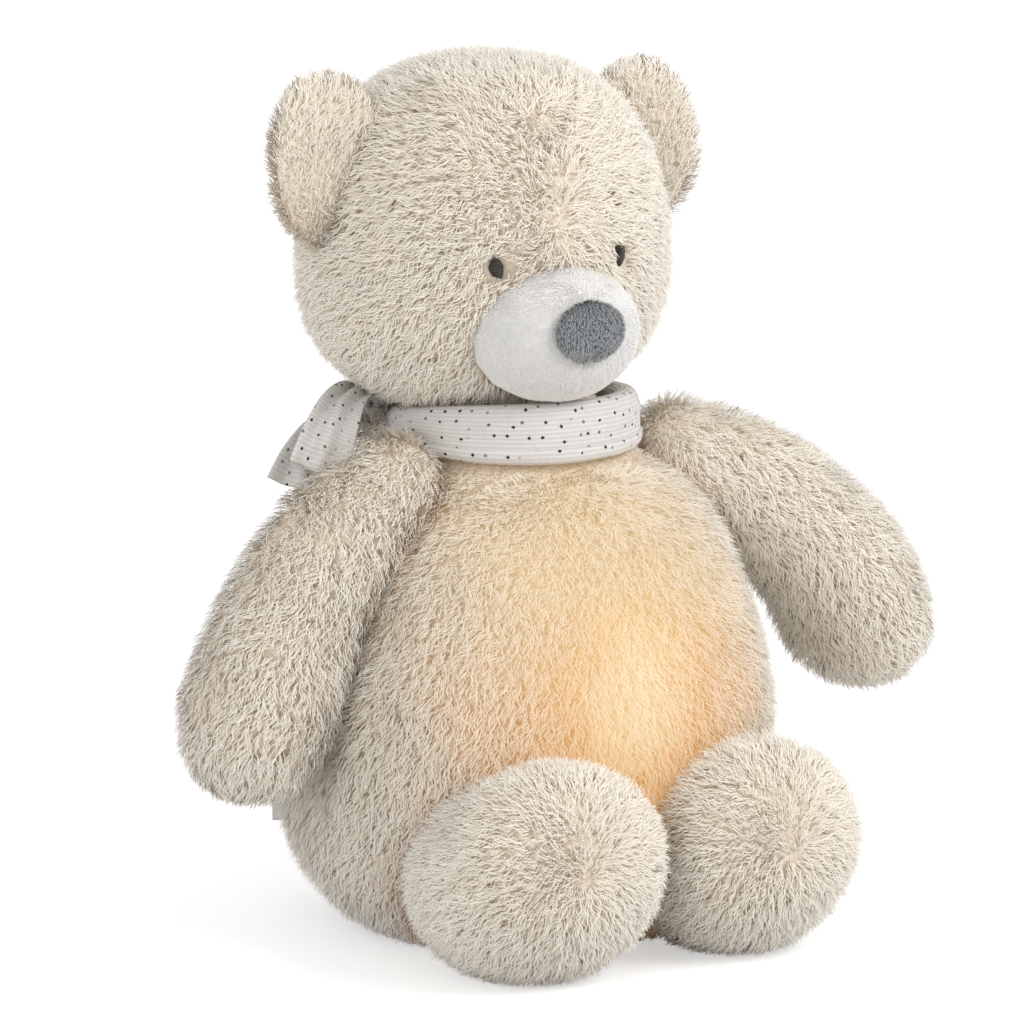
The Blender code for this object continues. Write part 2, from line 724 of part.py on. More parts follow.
def scarf_ring(turn):
    """Centre, outward direction and height of the scarf at a turn about the neck, 0 at the front."""
    bulk = SCARF_REAR_SHARE + (1 - SCARF_REAR_SHARE) * math.cos(turn / 2) ** 2
    radius = SCARF_RADIUS + SCARF_BULGE * max(0, math.cos(turn - KNOT_TURN)) ** 2
    outward = Vector((-math.sin(turn), -math.cos(turn), 0))
    height = SCARF_HEIGHT * bulk
    top = TORSO_HEIGHT + SCARF_RISE - SCARF_SLOPE * (1 - math.cos(turn)) / 2
    return Vector((0, NECK_SET_BACK, top - height / 2)) + outward * radius, outward, height


def make_scarf_band():
    """The folded muslin scarf round the neck, thicker and deeper in front."""

    def build(shape):
        loops = []
        for station in range(BAND_STATIONS):
            centre, outward, height = scarf_ring(2 * math.pi * station / BAND_STATIONS)
            points = []
            for thick_share, high_share in BAND_SHARES:
                point = centre + outward * SCARF_THICKNESS * thick_share
                point.z += height * high_share
                points.append(shape.verts.new(point))
            loops.append(points)
        for station in range(BAND_STATIONS):
            here = loops[station]
            there = loops[(station + 1) % BAND_STATIONS]
            for side in range(len(BAND_SHARES)):
                after = (side + 1) % len(BAND_SHARES)
                shape.faces.new((here[side], here[after], there[after], there[side]))

    return smooth_cage(add_part("scarf_band", mesh_of(build), MUSLIN))


def make_scarf_knot():
    centre, outward, height = scarf_ring(KNOT_TURN)
    cage = ball_form(BALL_SHARES, KNOT_WIDTH, KNOT_DEPTH, KNOT_HEIGHT)
    knot = smooth_cage(add_part("scarf_knot", cage, MUSLIN))
    knot.location = centre + outward * (SCARF_THICKNESS / 2 - KNOT_TUCK)
    knot.rotation_euler = (0, 0, math.atan2(outward.x, -outward.y))
    return knot.location + outward * KNOT_DEPTH / 2


def tail_path(knot, shares):
    """Start, crest and hem of a scarf end, which lies over the right shoulder."""
    start_shares, crest_shares, hem_shares = (Vector(point) for point in shares)
    start = Vector(knot) + start_shares * KNOT_WIDTH
    return start, start + crest_shares * TAIL_LENGTH, start + hem_shares * TAIL_LENGTH


def tail_place(path, share):
    """A point of a scarf end and the direction of its run there."""
    start, crest, hem = path
    place = start * (1 - share) ** 2 + crest * 2 * share * (1 - share) + hem * share**2
    return place, ((crest - start) * (1 - share) + (hem - crest) * share).normalized()


def make_scarf_tail(name, path):
    """A folded scarf end: gathered on edge at the knot, spread flat at its hem."""
    facing = Vector((-math.sin(TAIL_FACING), -math.cos(TAIL_FACING), 0))
    rings = []
    for length_share, width_share in TAIL_SHARES:
        place, run = tail_place(path, length_share)
        spread = run.cross(Vector((0, 0, 1)).lerp(facing, length_share)).normalized()
        normal = spread.cross(run)
        half = TAIL_WIDTH / 2 * width_share
        face = []
        for share in TAIL_FOLD_SHARES:
            fold = TAIL_FOLD * math.cos(share * math.pi * 2)
            face.append(place + spread * half * share + normal * fold)
        rings.append(face + [point + normal * TAIL_THICKNESS for point in reversed(face)])

    def build(shape):
        loops = [[shape.verts.new(point) for point in ring] for ring in rings]
        sides = len(rings[0])
        for upper, lower in zip(loops, loops[1:]):
            for side in range(sides):
                after = (side + 1) % sides
                shape.faces.new((upper[side], upper[after], lower[after], lower[side]))
        shape.faces.new(loops[0])
        shape.faces.new(loops[-1])

    return add_part(name, mesh_of(build), MUSLIN)


def make_diffuser(module):
    """The frosted dome, with a flange that the front housing's lip holds down."""
    rim = DOME_BASE - LIP_THICKNESS - GAP
    seat = rim - DOME_FLANGE_THICKNESS
    inner = DOME_RADIUS - DOME_WALL
    nose = MODULE_LENGTH
    shoulder = nose - DOME_DEPTH
    outside = arc_down(DOME_RADIUS, nose - shoulder, nose)
    inside = arc_down(inner, nose - DOME_WALL - shoulder, nose - DOME_WALL)
    flange_radius = SHELL_RADIUS - GAP
    profile = outside + [(DOME_RADIUS, rim), (flange_radius, rim), (flange_radius, seat), (inner, seat)]
    turned("light_diffuser", profile + inside[::-1], FROSTED_PLASTIC, module)
    return seat


def make_front_housing(module):
    base = REAR_HOUSING_DEPTH + GAP
    lip_radius = DOME_RADIUS + GAP
    lip_under = DOME_BASE - LIP_THICKNESS
    ring_inner = SHELL_RADIUS - SEAT_RING_WIDTH
    ring_top = base + SEAT_RING_RISE + SEAT_RING_THICKNESS
    ring_under = base + SEAT_RING_RISE
    profile = [
        (MODULE_RADIUS, DOME_BASE),
        (MODULE_RADIUS, base),
        (SHELL_RADIUS, base),
        (SHELL_RADIUS, ring_under),
        (ring_inner, ring_under),
        (ring_inner, ring_top),
        (SHELL_RADIUS, ring_top),
        (SHELL_RADIUS, lip_under),
        (lip_radius, lip_under),
        (lip_radius, DOME_BASE),
    ]
    housing = turned("front_housing", profile, WHITE_PLASTIC, module)
    foot = MODULE_REAR_WALL + GAP
    for index, turn in enumerate(SCREW_TURNS):
        place = (SCREW_CIRCLE * math.cos(turn), SCREW_CIRCLE * math.sin(turn), foot)
        height = ring_under + SEAT_RING_THICKNESS / 2 - foot
        post = add_cutter(f"post_{index}", rod_mesh(POST_RADIUS, height), module, place)
        combine(housing, post, "UNION")
        bore = rod_mesh(SCREW_RADIUS + GAP, SCREW_LENGTH)
        under = (place[0], place[1], foot - OVERRUN)
        combine(housing, add_cutter(f"post_bore_{index}", bore, module, under))
    return ring_top


def make_rear_housing(module):
    """The rear cup, moulded in one with the battery bay."""
    profile = [
        (MODULE_RADIUS, REAR_HOUSING_DEPTH),
        (MODULE_RADIUS, 0),
        (0, 0),
        (0, MODULE_REAR_WALL),
        (SHELL_RADIUS, MODULE_REAR_WALL),
        (SHELL_RADIUS, REAR_HOUSING_DEPTH),
    ]
    housing = turned("rear_housing", profile, WHITE_PLASTIC, module)
    bay_top = DOOR_THICKNESS + GAP + BAY_DEPTH
    outer = box_mesh(BAY_LENGTH + BAY_WALL * 2, BAY_WIDTH + BAY_WALL * 2, bay_top + BAY_WALL - DOOR_THICKNESS)
    middle = (0, -BAY_DROP, (bay_top + BAY_WALL + DOOR_THICKNESS) / 2)
    combine(housing, add_cutter("bay_block", outer, module, middle), "UNION")
    cavity_depth = bay_top + OVERRUN
    cavity = box_mesh(BAY_LENGTH, BAY_WIDTH, cavity_depth)
    combine(housing, add_cutter("bay_cavity", cavity, module, (0, -BAY_DROP, bay_top - cavity_depth / 2)))
    boss_height = DOOR_TAB_BOSS
    boss = rod_mesh(DOOR_TAB_RADIUS, boss_height)
    combine(housing, add_cutter("tab_boss", boss, module, (0, -DOOR_TAB_DROP, MODULE_REAR_WALL / 2)), "UNION")
    recess_depth = DOOR_THICKNESS + GAP + OVERRUN
    recess = box_mesh(DOOR_LENGTH + GAP * 2, DOOR_WIDTH + GAP * 2, recess_depth)
    recess_middle = DOOR_THICKNESS + GAP - recess_depth / 2
    combine(housing, add_cutter("door_recess", recess, module, (0, -BAY_DROP, recess_middle)))
    tab = rod_mesh(DOOR_TAB_RADIUS + GAP, recess_depth)
    combine(housing, add_cutter("tab_recess", tab, module, (0, -DOOR_TAB_DROP, -OVERRUN)))
    holes = [(0, -DOOR_TAB_DROP, SCREW_RADIUS + GAP)]
    for place in button_places():
        holes.append((*place, BUTTON_RADIUS + GAP))
    for place in grille_places():
        holes.append((*place, GRILLE_HOLE))
    holes.append((MICROPHONE_SIDE, MICROPHONE_RISE, GRILLE_HOLE))
    for turn in SCREW_TURNS:
        side = SCREW_CIRCLE * math.cos(turn)
        rise = SCREW_CIRCLE * math.sin(turn)
        holes.append((side, rise, SCREW_RADIUS + GAP))
    reach = MODULE_REAR_WALL + DOOR_TAB_BOSS + OVERRUN
    for index, (side, rise, radius) in enumerate(holes):
        drill = add_cutter(f"rear_hole_{index}", rod_mesh(radius, reach), module, (side, rise, -OVERRUN / 2))
        combine(housing, drill)
    for index, turn in enumerate(SCREW_TURNS):
        place = (SCREW_CIRCLE * math.cos(turn), SCREW_CIRCLE * math.sin(turn), -OVERRUN)
        sink = rod_mesh(SCREW_HEAD_RADIUS + GAP, OVERRUN + SCREW_HEAD_HEIGHT + GAP)
        combine(housing, add_cutter(f"counterbore_{index}", sink, module, place))
    slot = box_mesh(SWITCH_WIDTH + SWITCH_TRAVEL + GAP * 2, SWITCH_HEIGHT + GAP * 2, reach)
    middle = (SWITCH_TRAVEL / 2 - SWITCH_START, SWITCH_RISE, 0)
    combine(housing, add_cutter("switch_slot", slot, module, middle))
    return bay_top


def button_places():
    return [(BUTTON_PITCH * index - BUTTON_ROW_START, BUTTON_RISE) for index in range(3)]


def grille_places():
    places = [(SPEAKER_SIDE, SPEAKER_RISE)]
    for index in range(GRILLE_COUNT):
        turn = 2 * math.pi * index / GRILLE_COUNT
        side = SPEAKER_SIDE + GRILLE_RING * math.cos(turn)
        places.append((side, SPEAKER_RISE + GRILLE_RING * math.sin(turn)))
    return places


def make_buttons(module):
    """Three push buttons, each with a flange behind the rear wall that keeps it in."""
    under = MODULE_REAR_WALL + GAP
    for name, (side, rise) in zip(("light_button", "sound_button", "volume_button"), button_places()):
        tail_end = BUTTON_LENGTH - BUTTON_PROUD
        profile = [
            (0, tail_end),
            (BUTTON_RADIUS * STEM_SHARE, tail_end),
            (BUTTON_RADIUS * STEM_SHARE, under + FLANGE_THICKNESS),
            (BUTTON_RADIUS + BUTTON_FLANGE, under + FLANGE_THICKNESS),
            (BUTTON_RADIUS + BUTTON_FLANGE, under),
            (BUTTON_RADIUS, under),
            (BUTTON_RADIUS, -BUTTON_PROUD / 2),
            (BUTTON_RADIUS - BUTTON_PROUD / 2, -BUTTON_PROUD),
            (0, -BUTTON_PROUD),
        ]
        button = turned(name, profile, GREY_PLASTIC, module, SMALL_TURN_STEPS)
        button.location = (side, rise, 0)


def make_power_switch(module):
    under = MODULE_REAR_WALL + GAP
    length = under + BUTTON_PROUD + FLANGE_THICKNESS / 2
    knob = box_mesh(SWITCH_WIDTH, SWITCH_HEIGHT, length)
    place = (-SWITCH_START, SWITCH_RISE, length / 2 - BUTTON_PROUD)
    switch = add_part("power_switch", knob, BLACK_PLASTIC, module, place)
    foot = box_mesh(
        SWITCH_WIDTH + SWITCH_TRAVEL + SWITCH_FLANGE * 2, SWITCH_HEIGHT + SWITCH_FLANGE, FLANGE_THICKNESS
    )
    middle = (-SWITCH_START, SWITCH_RISE, under + FLANGE_THICKNESS / 2)
    combine(switch, add_cutter("switch_foot", foot, module, middle), "UNION")


def make_boards(module, led_seat):
    """The LED board on its ring, and the control board behind the buttons."""
    radius = SHELL_RADIUS - GAP * 2
    disc = rod_mesh(radius, BOARD_THICKNESS, TURN_STEPS)
    add_part("led_board", disc, GREEN_BOARD, module, (0, 0, led_seat + GAP))
    level = BUTTON_LENGTH - BUTTON_PROUD + BUTTON_TRAVEL + GAP
    board = box_mesh(CONTROL_BOARD_LENGTH, CONTROL_BOARD_WIDTH, BOARD_THICKNESS)
    row_middle = BUTTON_PITCH - BUTTON_ROW_START
    place = (row_middle, BUTTON_RISE, level + BOARD_THICKNESS / 2)
    control = add_part("control_board", board, GREEN_BOARD, module, place)
    shell = rod_mesh(SHELL_RADIUS - GAP, REAR_HOUSING_DEPTH, TURN_STEPS)
    combine(control, add_cutter("board_outline", shell, module), "INTERSECT")
    return led_seat + GAP + BOARD_THICKNESS, level + BOARD_THICKNESS


def make_leds(module, level):
    body = LED_HEIGHT - LED_RADIUS
    for index in range(LED_COUNT):
        turn = 2 * math.pi * index / LED_COUNT
        profile = arc_down(LED_RADIUS, LED_RADIUS, body + LED_RADIUS)[::2]
        profile += [(LED_RADIUS, 0), (0, 0)]
        led = turned(f"led_{index + 1}", profile, WARM_LED, module, SMALL_TURN_STEPS)
        side = LED_RING_RADIUS * math.cos(turn)
        led.location = (side, LED_RING_RADIUS * math.sin(turn), level + GAP)


def make_speaker_and_microphone(module):
    level = MODULE_REAR_WALL + GAP
    place = (SPEAKER_SIDE, SPEAKER_RISE, level)
    add_part("speaker", rod_mesh(SPEAKER_RADIUS, SPEAKER_THICKNESS, TURN_STEPS), BLACK_PLASTIC, module, place)
    place = (MICROPHONE_SIDE, MICROPHONE_RISE, level)
    add_part("microphone", rod_mesh(MICROPHONE_RADIUS, MICROPHONE_LENGTH), SPRING_STEEL, module, place)
    return level + SPEAKER_THICKNESS


def make_cells(module, bay_top):
    """Three cells side by side, in turn end for end, each between a spring and a plate."""
    level = bay_top - CELL_RADIUS - GAP
    end = BAY_LENGTH / 2
    nub_end = end - GAP - PLATE_THICKNESS - GAP
    for index in range(CELL_COUNT):
        rise = CELL_PITCH * (index - (CELL_COUNT - 1) / 2) - BAY_DROP
        facing = 1 if index % 2 == 0 else -1
        turn = (0, facing * math.pi / 2, 0)
        start = facing * (nub_end - CELL_NUB_LENGTH - CELL_LENGTH)
        profile = [
            (0, CELL_LENGTH + CELL_NUB_LENGTH),
            (CELL_NUB_RADIUS, CELL_LENGTH + CELL_NUB_LENGTH),
            (CELL_NUB_RADIUS, CELL_LENGTH),
            (CELL_RADIUS, CELL_LENGTH),
            (CELL_RADIUS, 0),
            (0, 0),
        ]
        cell = turned(f"battery_cell_{index + 1}", profile, CELL_SLEEVE, module, SMALL_TURN_STEPS)
        cell.location = (start, rise, level)
        cell.rotation_euler = turn
        plate = box_mesh(PLATE_THICKNESS, PLATE_SIZE, PLATE_SIZE)
        plate_x = facing * (end - GAP - PLATE_THICKNESS / 2)
        add_part(f"contact_plate_{index + 1}", plate, SPRING_STEEL, module, (plate_x, rise, level))
        spring = make_spring(f"contact_spring_{index + 1}", module)
        spring.location = (facing * (SPRING_WIRE + GAP - end), rise, level)
        spring.rotation_euler = turn


def make_spring(name, module):
    """A coil spring that stands on the origin and rises along its own Z axis."""
    curve = bpy.data.curves.new(name, "CURVE")
    curve.dimensions = "3D"
    curve.bevel_depth = SPRING_WIRE
    curve.bevel_resolution = 1
    curve.use_fill_caps = True
    count = SPRING_TURNS * SPRING_TURN_POINTS + 1
    rise = SPRING_LENGTH - SPRING_WIRE * 2 - GAP * 2
    spline = curve.splines.new("POLY")
    spline.points.add(count - 1)
    for index, point in enumerate(spline.points):
        turn = 2 * math.pi * index / SPRING_TURN_POINTS
        height = rise * index / (count - 1)
        point.co = (SPRING_RADIUS * math.cos(turn), SPRING_RADIUS * math.sin(turn), height, 1)
    spring = bpy.data.objects.new(name, curve)
    curve.materials.append(material(name, SPRING_STEEL))
    spring.parent = module
    PARTS.objects.link(spring)
    return spring


def make_battery_door(module):
    door = box_mesh(DOOR_LENGTH, DOOR_WIDTH, DOOR_THICKNESS)
    place = (0, -BAY_DROP, DOOR_THICKNESS / 2)
    part = add_part("battery_door", door, WHITE_PLASTIC, module, place)
    tab = add_cutter("door_tab", rod_mesh(DOOR_TAB_RADIUS, DOOR_THICKNESS), module, (0, -DOOR_TAB_DROP, 0))
    combine(part, tab, "UNION")
    bore = rod_mesh(SCREW_RADIUS + GAP, DOOR_THICKNESS + OVERRUN * 2)
    combine(part, add_cutter("door_bore", bore, module, (0, -DOOR_TAB_DROP, -OVERRUN)))
    sink = rod_mesh(SCREW_HEAD_RADIUS + GAP, OVERRUN + DOOR_THICKNESS / 2)
    combine(part, add_cutter("door_sink", sink, module, (0, -DOOR_TAB_DROP, -OVERRUN)))


def make_screw(name, module, side, rise, head_level, length):
    """A pan-head screw, driven forward from the rear."""
    shank_end = head_level + length
    profile = [
        (0, shank_end),
        (SCREW_RADIUS, shank_end - SCREW_RADIUS / 2),
        (SCREW_RADIUS, head_level),
        (SCREW_HEAD_RADIUS, head_level),
        (SCREW_HEAD_RADIUS, head_level - SCREW_HEAD_HEIGHT / 2),
        (SCREW_HEAD_RADIUS / 2, head_level - SCREW_HEAD_HEIGHT),
        (0, head_level - SCREW_HEAD_HEIGHT),
    ]
    screw = turned(name, profile, SCREW_STEEL, module, SMALL_TURN_STEPS)
    screw.location = (side, rise, 0)


def make_screws(module):
    for index, turn in enumerate(SCREW_TURNS):
        side = SCREW_CIRCLE * math.cos(turn)
        rise = SCREW_CIRCLE * math.sin(turn)
        length = SCREW_LENGTH - OVERRUN + GAP
        make_screw(f"housing_screw_{index + 1}", module, side, rise, SCREW_HEAD_HEIGHT, length)
    door_level = DOOR_THICKNESS / 2 - GAP
    door_length = MODULE_REAR_WALL / 2 + DOOR_TAB_BOSS - door_level
    make_screw("battery_door_screw", module, 0, -DOOR_TAB_DROP, door_level, door_length)


def make_cable(name, points, module):
    curve = bpy.data.curves.new(name, "CURVE")
    curve.dimensions = "3D"
    curve.bevel_depth = CABLE_RADIUS
    curve.bevel_resolution = 1
    curve.use_fill_caps = True
    spline = curve.splines.new("POLY")
    spline.points.add(len(points) - 1)
    for point, place in zip(spline.points, points):
        point.co = (*place, 1)
    cable = bpy.data.objects.new(name, curve)
    curve.materials.append(material(name, CABLE_JACKET))
    cable.parent = module
    PARTS.objects.link(cable)


def make_cables(module, control_level, led_under, speaker_level):
    """The ribbon between the two boards, and the lead from the speaker to the control board."""
    low = control_level + GAP
    high = led_under - GAP
    bow = CABLE_RADIUS * 2
    points = []
    for share in CABLE_SHARES:
        side = BUTTON_RISE + bow * math.sin(math.pi * share)
        points.append((-CABLE_SIDE, side, low + (high - low) * share))
    make_cable("board_cable", points, module)
    lift = CABLE_RADIUS * 2
    left = BUTTON_PITCH - BUTTON_ROW_START + CONTROL_BOARD_LENGTH / 2 - lift
    right = SPEAKER_SIDE
    level = max(control_level, speaker_level) + CABLE_RADIUS + lift
    points = [
        (left, BUTTON_RISE, control_level + GAP),
        (left, BUTTON_RISE, level),
        ((left + right) / 2, (BUTTON_RISE + SPEAKER_RISE) / 2, level + lift),
        (right, SPEAKER_RISE, level),
        (right, SPEAKER_RISE, speaker_level + GAP),
    ]
    make_cable("speaker_cable", points, module)


def make_module():
    """The light and sound module. In its own frame +Z points forward and its rear face is z = 0."""
    place = (0, MODULE_REAR_Y, MODULE_HEIGHT)
    module = add_empty("module_origin", place, (math.pi / 2, 0, 0))
    make_diffuser(module)
    led_seat = make_front_housing(module)
    bay_top = make_rear_housing(module)
    make_buttons(module)
    make_power_switch(module)
    led_level, control_level = make_boards(module, led_seat)
    make_leds(module, led_level)
    speaker_level = make_speaker_and_microphone(module)
    make_cells(module, bay_top)
    make_battery_door(module)
    make_screws(module)
    make_cables(module, control_level, led_seat + GAP, speaker_level)
    return module


def make_plush(module):
    floor = floor_cutter()
    torso = make_torso(floor)
    for name, side, reach, drop in (
        ("arm_right", -1, RIGHT_ARM_REACH, RIGHT_ARM_DROP),
        ("arm_left", 1, LEFT_ARM_REACH, LEFT_ARM_DROP),
    ):
        arm, shoulder = make_arm(name, side, reach, drop)
        fit_limb(arm, shoulder, torso, SHOULDER_BALL, ARM_SWEEP, -1)
    for name, side, width, thickness in (
        ("leg_right", -1, RIGHT_LEG_WIDTH, RIGHT_LEG_THICKNESS),
        ("leg_left", 1, LEFT_LEG_WIDTH, LEFT_LEG_THICKNESS),
    ):
        leg, hip = make_leg(name, side, width, thickness)
        fit_limb(leg, hip, torso, HIP_BALL, LEG_SWEEP, 1)
        combine(leg, floor)
    cut_pocket(torso, module)
    make_back_flap()
    make_lining(module)
    make_closure_strips()
    make_label()
    turning = add_empty("head_turn", (0, NECK_SET_BACK, HEAD_BASE))
    make_head(turning)
    outline = head_cutter(turning)
    make_ears(turning, outline)
    make_face(turning, outline)


def make_scarf():
    make_scarf_band()
    knot = make_scarf_knot()
    make_scarf_tail("scarf_tail_front", tail_path(knot, FRONT_TAIL_SHARES))
    make_scarf_tail("scarf_tail_back", tail_path(knot, BACK_TAIL_SHARES))


clear_scene()
PARTS = new_collection("plush bear night light")
CUTTERS = new_collection("cutters")
make_plush(make_module())
make_scarf()
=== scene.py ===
"""The look of a seated plush bear night light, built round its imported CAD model.

Metres, +Z up. The bear faces -Y, so its own right side is -X.
"""

import math

import bpy
import numpy as np
from mathutils import Matrix, Vector, noise
from mathutils.bvhtree import BVHTree


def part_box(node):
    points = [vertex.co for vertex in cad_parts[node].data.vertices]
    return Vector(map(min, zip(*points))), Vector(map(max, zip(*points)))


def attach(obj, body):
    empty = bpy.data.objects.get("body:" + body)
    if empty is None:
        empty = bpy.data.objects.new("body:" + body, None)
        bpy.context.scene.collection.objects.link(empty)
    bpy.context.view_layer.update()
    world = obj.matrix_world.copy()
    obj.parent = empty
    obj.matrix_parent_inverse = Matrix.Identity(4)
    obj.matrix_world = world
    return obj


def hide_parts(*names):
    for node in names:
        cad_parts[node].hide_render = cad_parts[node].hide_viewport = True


# Blender seeds noise_vector by the clock unless this is set
NOISE_SEED = 7
noise.seed_set(NOISE_SEED)
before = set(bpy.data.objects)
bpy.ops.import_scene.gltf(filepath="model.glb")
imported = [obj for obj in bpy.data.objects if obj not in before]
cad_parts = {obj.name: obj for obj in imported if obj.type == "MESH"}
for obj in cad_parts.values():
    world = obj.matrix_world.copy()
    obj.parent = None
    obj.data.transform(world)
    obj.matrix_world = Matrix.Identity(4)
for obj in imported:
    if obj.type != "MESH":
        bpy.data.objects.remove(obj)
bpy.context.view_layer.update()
UP = Vector((0, 0, 1))

# Camera
CAMERA_AZIMUTH = math.radians(-30)
CAMERA_ELEVATION = math.radians(12)
CAMERA_DISTANCE = 3.5
CAMERA_TARGET = Vector((0.0081, 0.0309, 0.1450))
CAMERA_LENS = 336.2
CAMERA_SENSOR = 36.0

# Studio
FLOOR_SIZE = 12.0
KEY_PLACE = Vector((1.15, -1.75, 1.55))
KEY_SIZE = 1.1
KEY_WATTS = 29
FILL_PLACE = Vector((-2.0, -1.2, 1.1))
FILL_SIZE = 1.4
FILL_WATTS = 14
AMBIENT_STRENGTH = 0.66
FLOOR_GLOW = 0.50
AIM = Vector((0, 0, 0.15))

# Random fields: the size of their features, and where in the noise they start
LUMP_FIELD = (0.020, 3.7)
WAVE_FIELD = (0.006, 8.9)
SWIRL_FIELD = (0.017, 11.3)
CLUMP_FIELD = (0.0052, 5.1)
LINING_FIELD = (0.012, 2.2)

# Stuffed skins
SKIN_VOXEL = 0.0024
EAR_VOXEL = 0.0015
MUZZLE_VOXEL = 0.0009
NOSE_VOXEL = 0.0005
SKIN_SMOOTHINGS = 10
MUZZLE_SMOOTHINGS = 14
NOSE_SMOOTHINGS = 8
SMALL_SMOOTHINGS = 3
LUMP_HEIGHT = 0.0006

# Pile of the plush: locks of a few segments each
LOCK_LENGTH = 0.0084
LOCK_WIDTH = 0.00054
LOCK_DENSITY = 950000
LOCK_WAVE = math.radians(46)
LOCK_WAVE_STEP = 2.3
LOCK_PHASE_SPREAD = 0.6
LOCK_WIDTH_SHARES = (0.75, 1.0, 0.72)
LOCK_HEIGHT_SHARES = (0, 0, 1 / 3, 1 / 3, 2 / 3, 2 / 3, 1)
LOCK_ACROSS_SHARES = (0.2, 0.8, 0.2, 0.8, 0.3, 0.7, 0.5)
LOCK_LEANS = (26, 52, 72)
LEAN_SPREAD = 9
LEAST_LEAN = 8
MOST_LEAN = 86
FLATTEST_LEAN = 84
LOCK_TURN_SPREAD = 0.12
LOCK_ROUNDNESS = 0.55
LOCK_SOFTNESS = 0.8
MOST_LOCKS = 38000
SHORTEST_SHARE = 0.32
CUT_SHARE = 0.9
# How far from a neighbouring piece the painted crease shade reaches
CREASE_SHADE_REACH = 0.012
PRESSED_REACH = 0.012
PRESSED_SHARE = 0.25
SOFT_SHARE = 0.34
SOFT_CUT_SHARE = 0.5
SWIRL_SHARE = 0.65
CLUMP_SHARE = 0.45
CLEAR_OF_OTHERS = 0.0012
PILE_REACH = 0.009
SIDEWAYS_SHARE = 0.3
FLOOR_CLEARANCE = 0.0004
EYE_MARGIN = 0.0009
EYE_PILE_DEPTH = 0.009
EYE_FADE_SPAN = 1.8
BAKE_CELLS = 220
BAKE_MARGIN_SHARE = 0.1
EAR_LOCK_LENGTH = 0.0066
NOSE_LOCKS = {"length": 0.0017, "width": 0.00040, "density": 4500000}
VELOUR_LOCKS = {"length": 0.0012, "width": 0.00028, "density": 6000000}
STUFFED = ("torso", "head", "arm_right", "arm_left", "leg_right", "leg_left")
# Pieces whose meetings brown the pile with painted crease shade
CREASE_SHADE_PIECES = STUFFED + ("scarf_band",)
SEWN_TO = {
    "ear_right": "head", "ear_left": "head", "muzzle": "head", "nose": "head",
    "back_flap": "torso", "scarf_knot": "torso",
}
SCARF_PIECES = ("scarf_cloth", "scarf_end_front", "scarf_end_rear")

# Where the pile lies away from, and how strongly it does against its fall
TORSO_PARTING = ((0, -0.02, 0.13), 0.9)
HEAD_PARTING = ((-0.004, -0.045, 0.235), 1.1)
LIMB_PARTING = ((0, 0.01, 0.12), 0.5)
FOOT_OUTWARD = 2.2
FOOT_HEIGHT_SHARE = 0.55
MUZZLE_OUTWARD = 1.0
NOSE_OUTWARD = 0.8
TUFT_WAY = (-0.8, -0.8, -0.3)
TUFT_LENGTH = 0.0150

# Face
SEAM_WIDTH = 0.0013
SEAM_DEPTH = 0.0018
SEAM_TOP_SHARE = 0.3
SEAM_FADE = 1.4
PINCH_DEPTH_SHARE = 1.6
PINCH_FADE = 3.4
EYE_THREADS = 15
EYE_THREAD_RADIUS = 0.00026
EYE_BULGE = 0.0012
EYE_SPREAD = 1.25
EYE_TILT = 0.18
EYE_DEPTH_SHARE = 0.55
EYE_SEEDS = {"eye_right": 9, "eye_left": 8}
THREAD_POINTS = 7
THREAD_SIDES = 6
THREAD_END_SHARE = 0.35
LOOSE_THREAD_LENGTH = 0.0026
NO_THREADS_WAY = Vector((0.31, 0.22, 0.93))

# Scarf band: its turn is 0 at the front
BAND_RADIUS = 0.0382
BAND_BULGE = 0.006
BAND_HEIGHT = 0.020
BAND_TOP = 0.1965
BAND_SLOPE = 0.006
BAND_REAR_SHARE = 0.72
BAND_CENTRE = Vector((0, 0.010, 0))
BAND_STATIONS = 220
BAND_CREASE = 0.0005
# How fine each ripple is round and up the band, its place in the noise, and its weight
BAND_RIPPLES = ((2.6, 5.0, 1.5, 1.0), (9.0, 9.0, 7.5, 0.4))
KNOT_TURN = math.radians(128)
KNOT_GATHER = 0.58
KNOT_GATHER_TURN = math.radians(40)
KNOT_LIFT = 0.15
KNOT_PLEATS = 7
KNOT_TWIST = 600
KNOT_PLEAT_SHARE = 0.4
CLOTH_THICKNESS = 0.0007
BAND_FULLNESS = 0.010
SECTION_STEPS = 3
# Outward share of the fullness and upward share of the height: inside, over, down, round the hem
BAND_SECTION_SHARES = (
    (-0.36, 0.02), (-0.56, 0.12), (-0.64, 0.20), (-0.66, 0.34), (-0.46, 0.46), (-0.16, 0.53),
    (0.12, 0.53), (0.28, 0.47), (0.38, 0.34), (0.44, 0.18), (0.46, 0.02), (0.45, -0.14),
    (0.44, -0.245), (0.44, -0.275), (0.53, -0.285), (0.55, -0.32), (0.54, -0.40), (0.46, -0.48),
    (0.26, -0.53), (0.04, -0.49), (-0.22, -0.40), (-0.34, -0.20), (-0.36, -0.08),
)

# Scarf ends: start in widths of the knot from its face, crest and hem in lengths of an end from there
KNOT_FACE = 0.0083
KNOT_WIDTH = 0.016
END_LENGTH = 0.040
END_WIDTH = 0.0232
END_FACING = math.radians(30)
END_DEPTH = 0.0034
FRONT_END_SHARES = ((-0.37, -0.33, 0.18), (-0.365, -0.206, 0.353), (-0.722, -0.256, -0.448))
REAR_END_SHARES = ((-0.60, -0.22, -0.34), (-0.353, 0.023, 0.260), (-0.749, -0.134, -0.438))
END_WIDTH_SHARES = ((0.00, 0.34), (0.20, 0.42), (0.42, 0.56), (0.62, 0.76), (0.82, 0.92), (1.00, 1.00))
END_ROWS = 36
END_COLUMNS = 26
END_FOLD = 0.0013
END_RIPPLE = 0.0005
END_RIPPLE_TURN = 9
END_RIPPLE_FADE = 0.6
END_SWAY = 0.0006
END_SWAY_TURN = 5
FRONT_END_LIFT = 0.0070
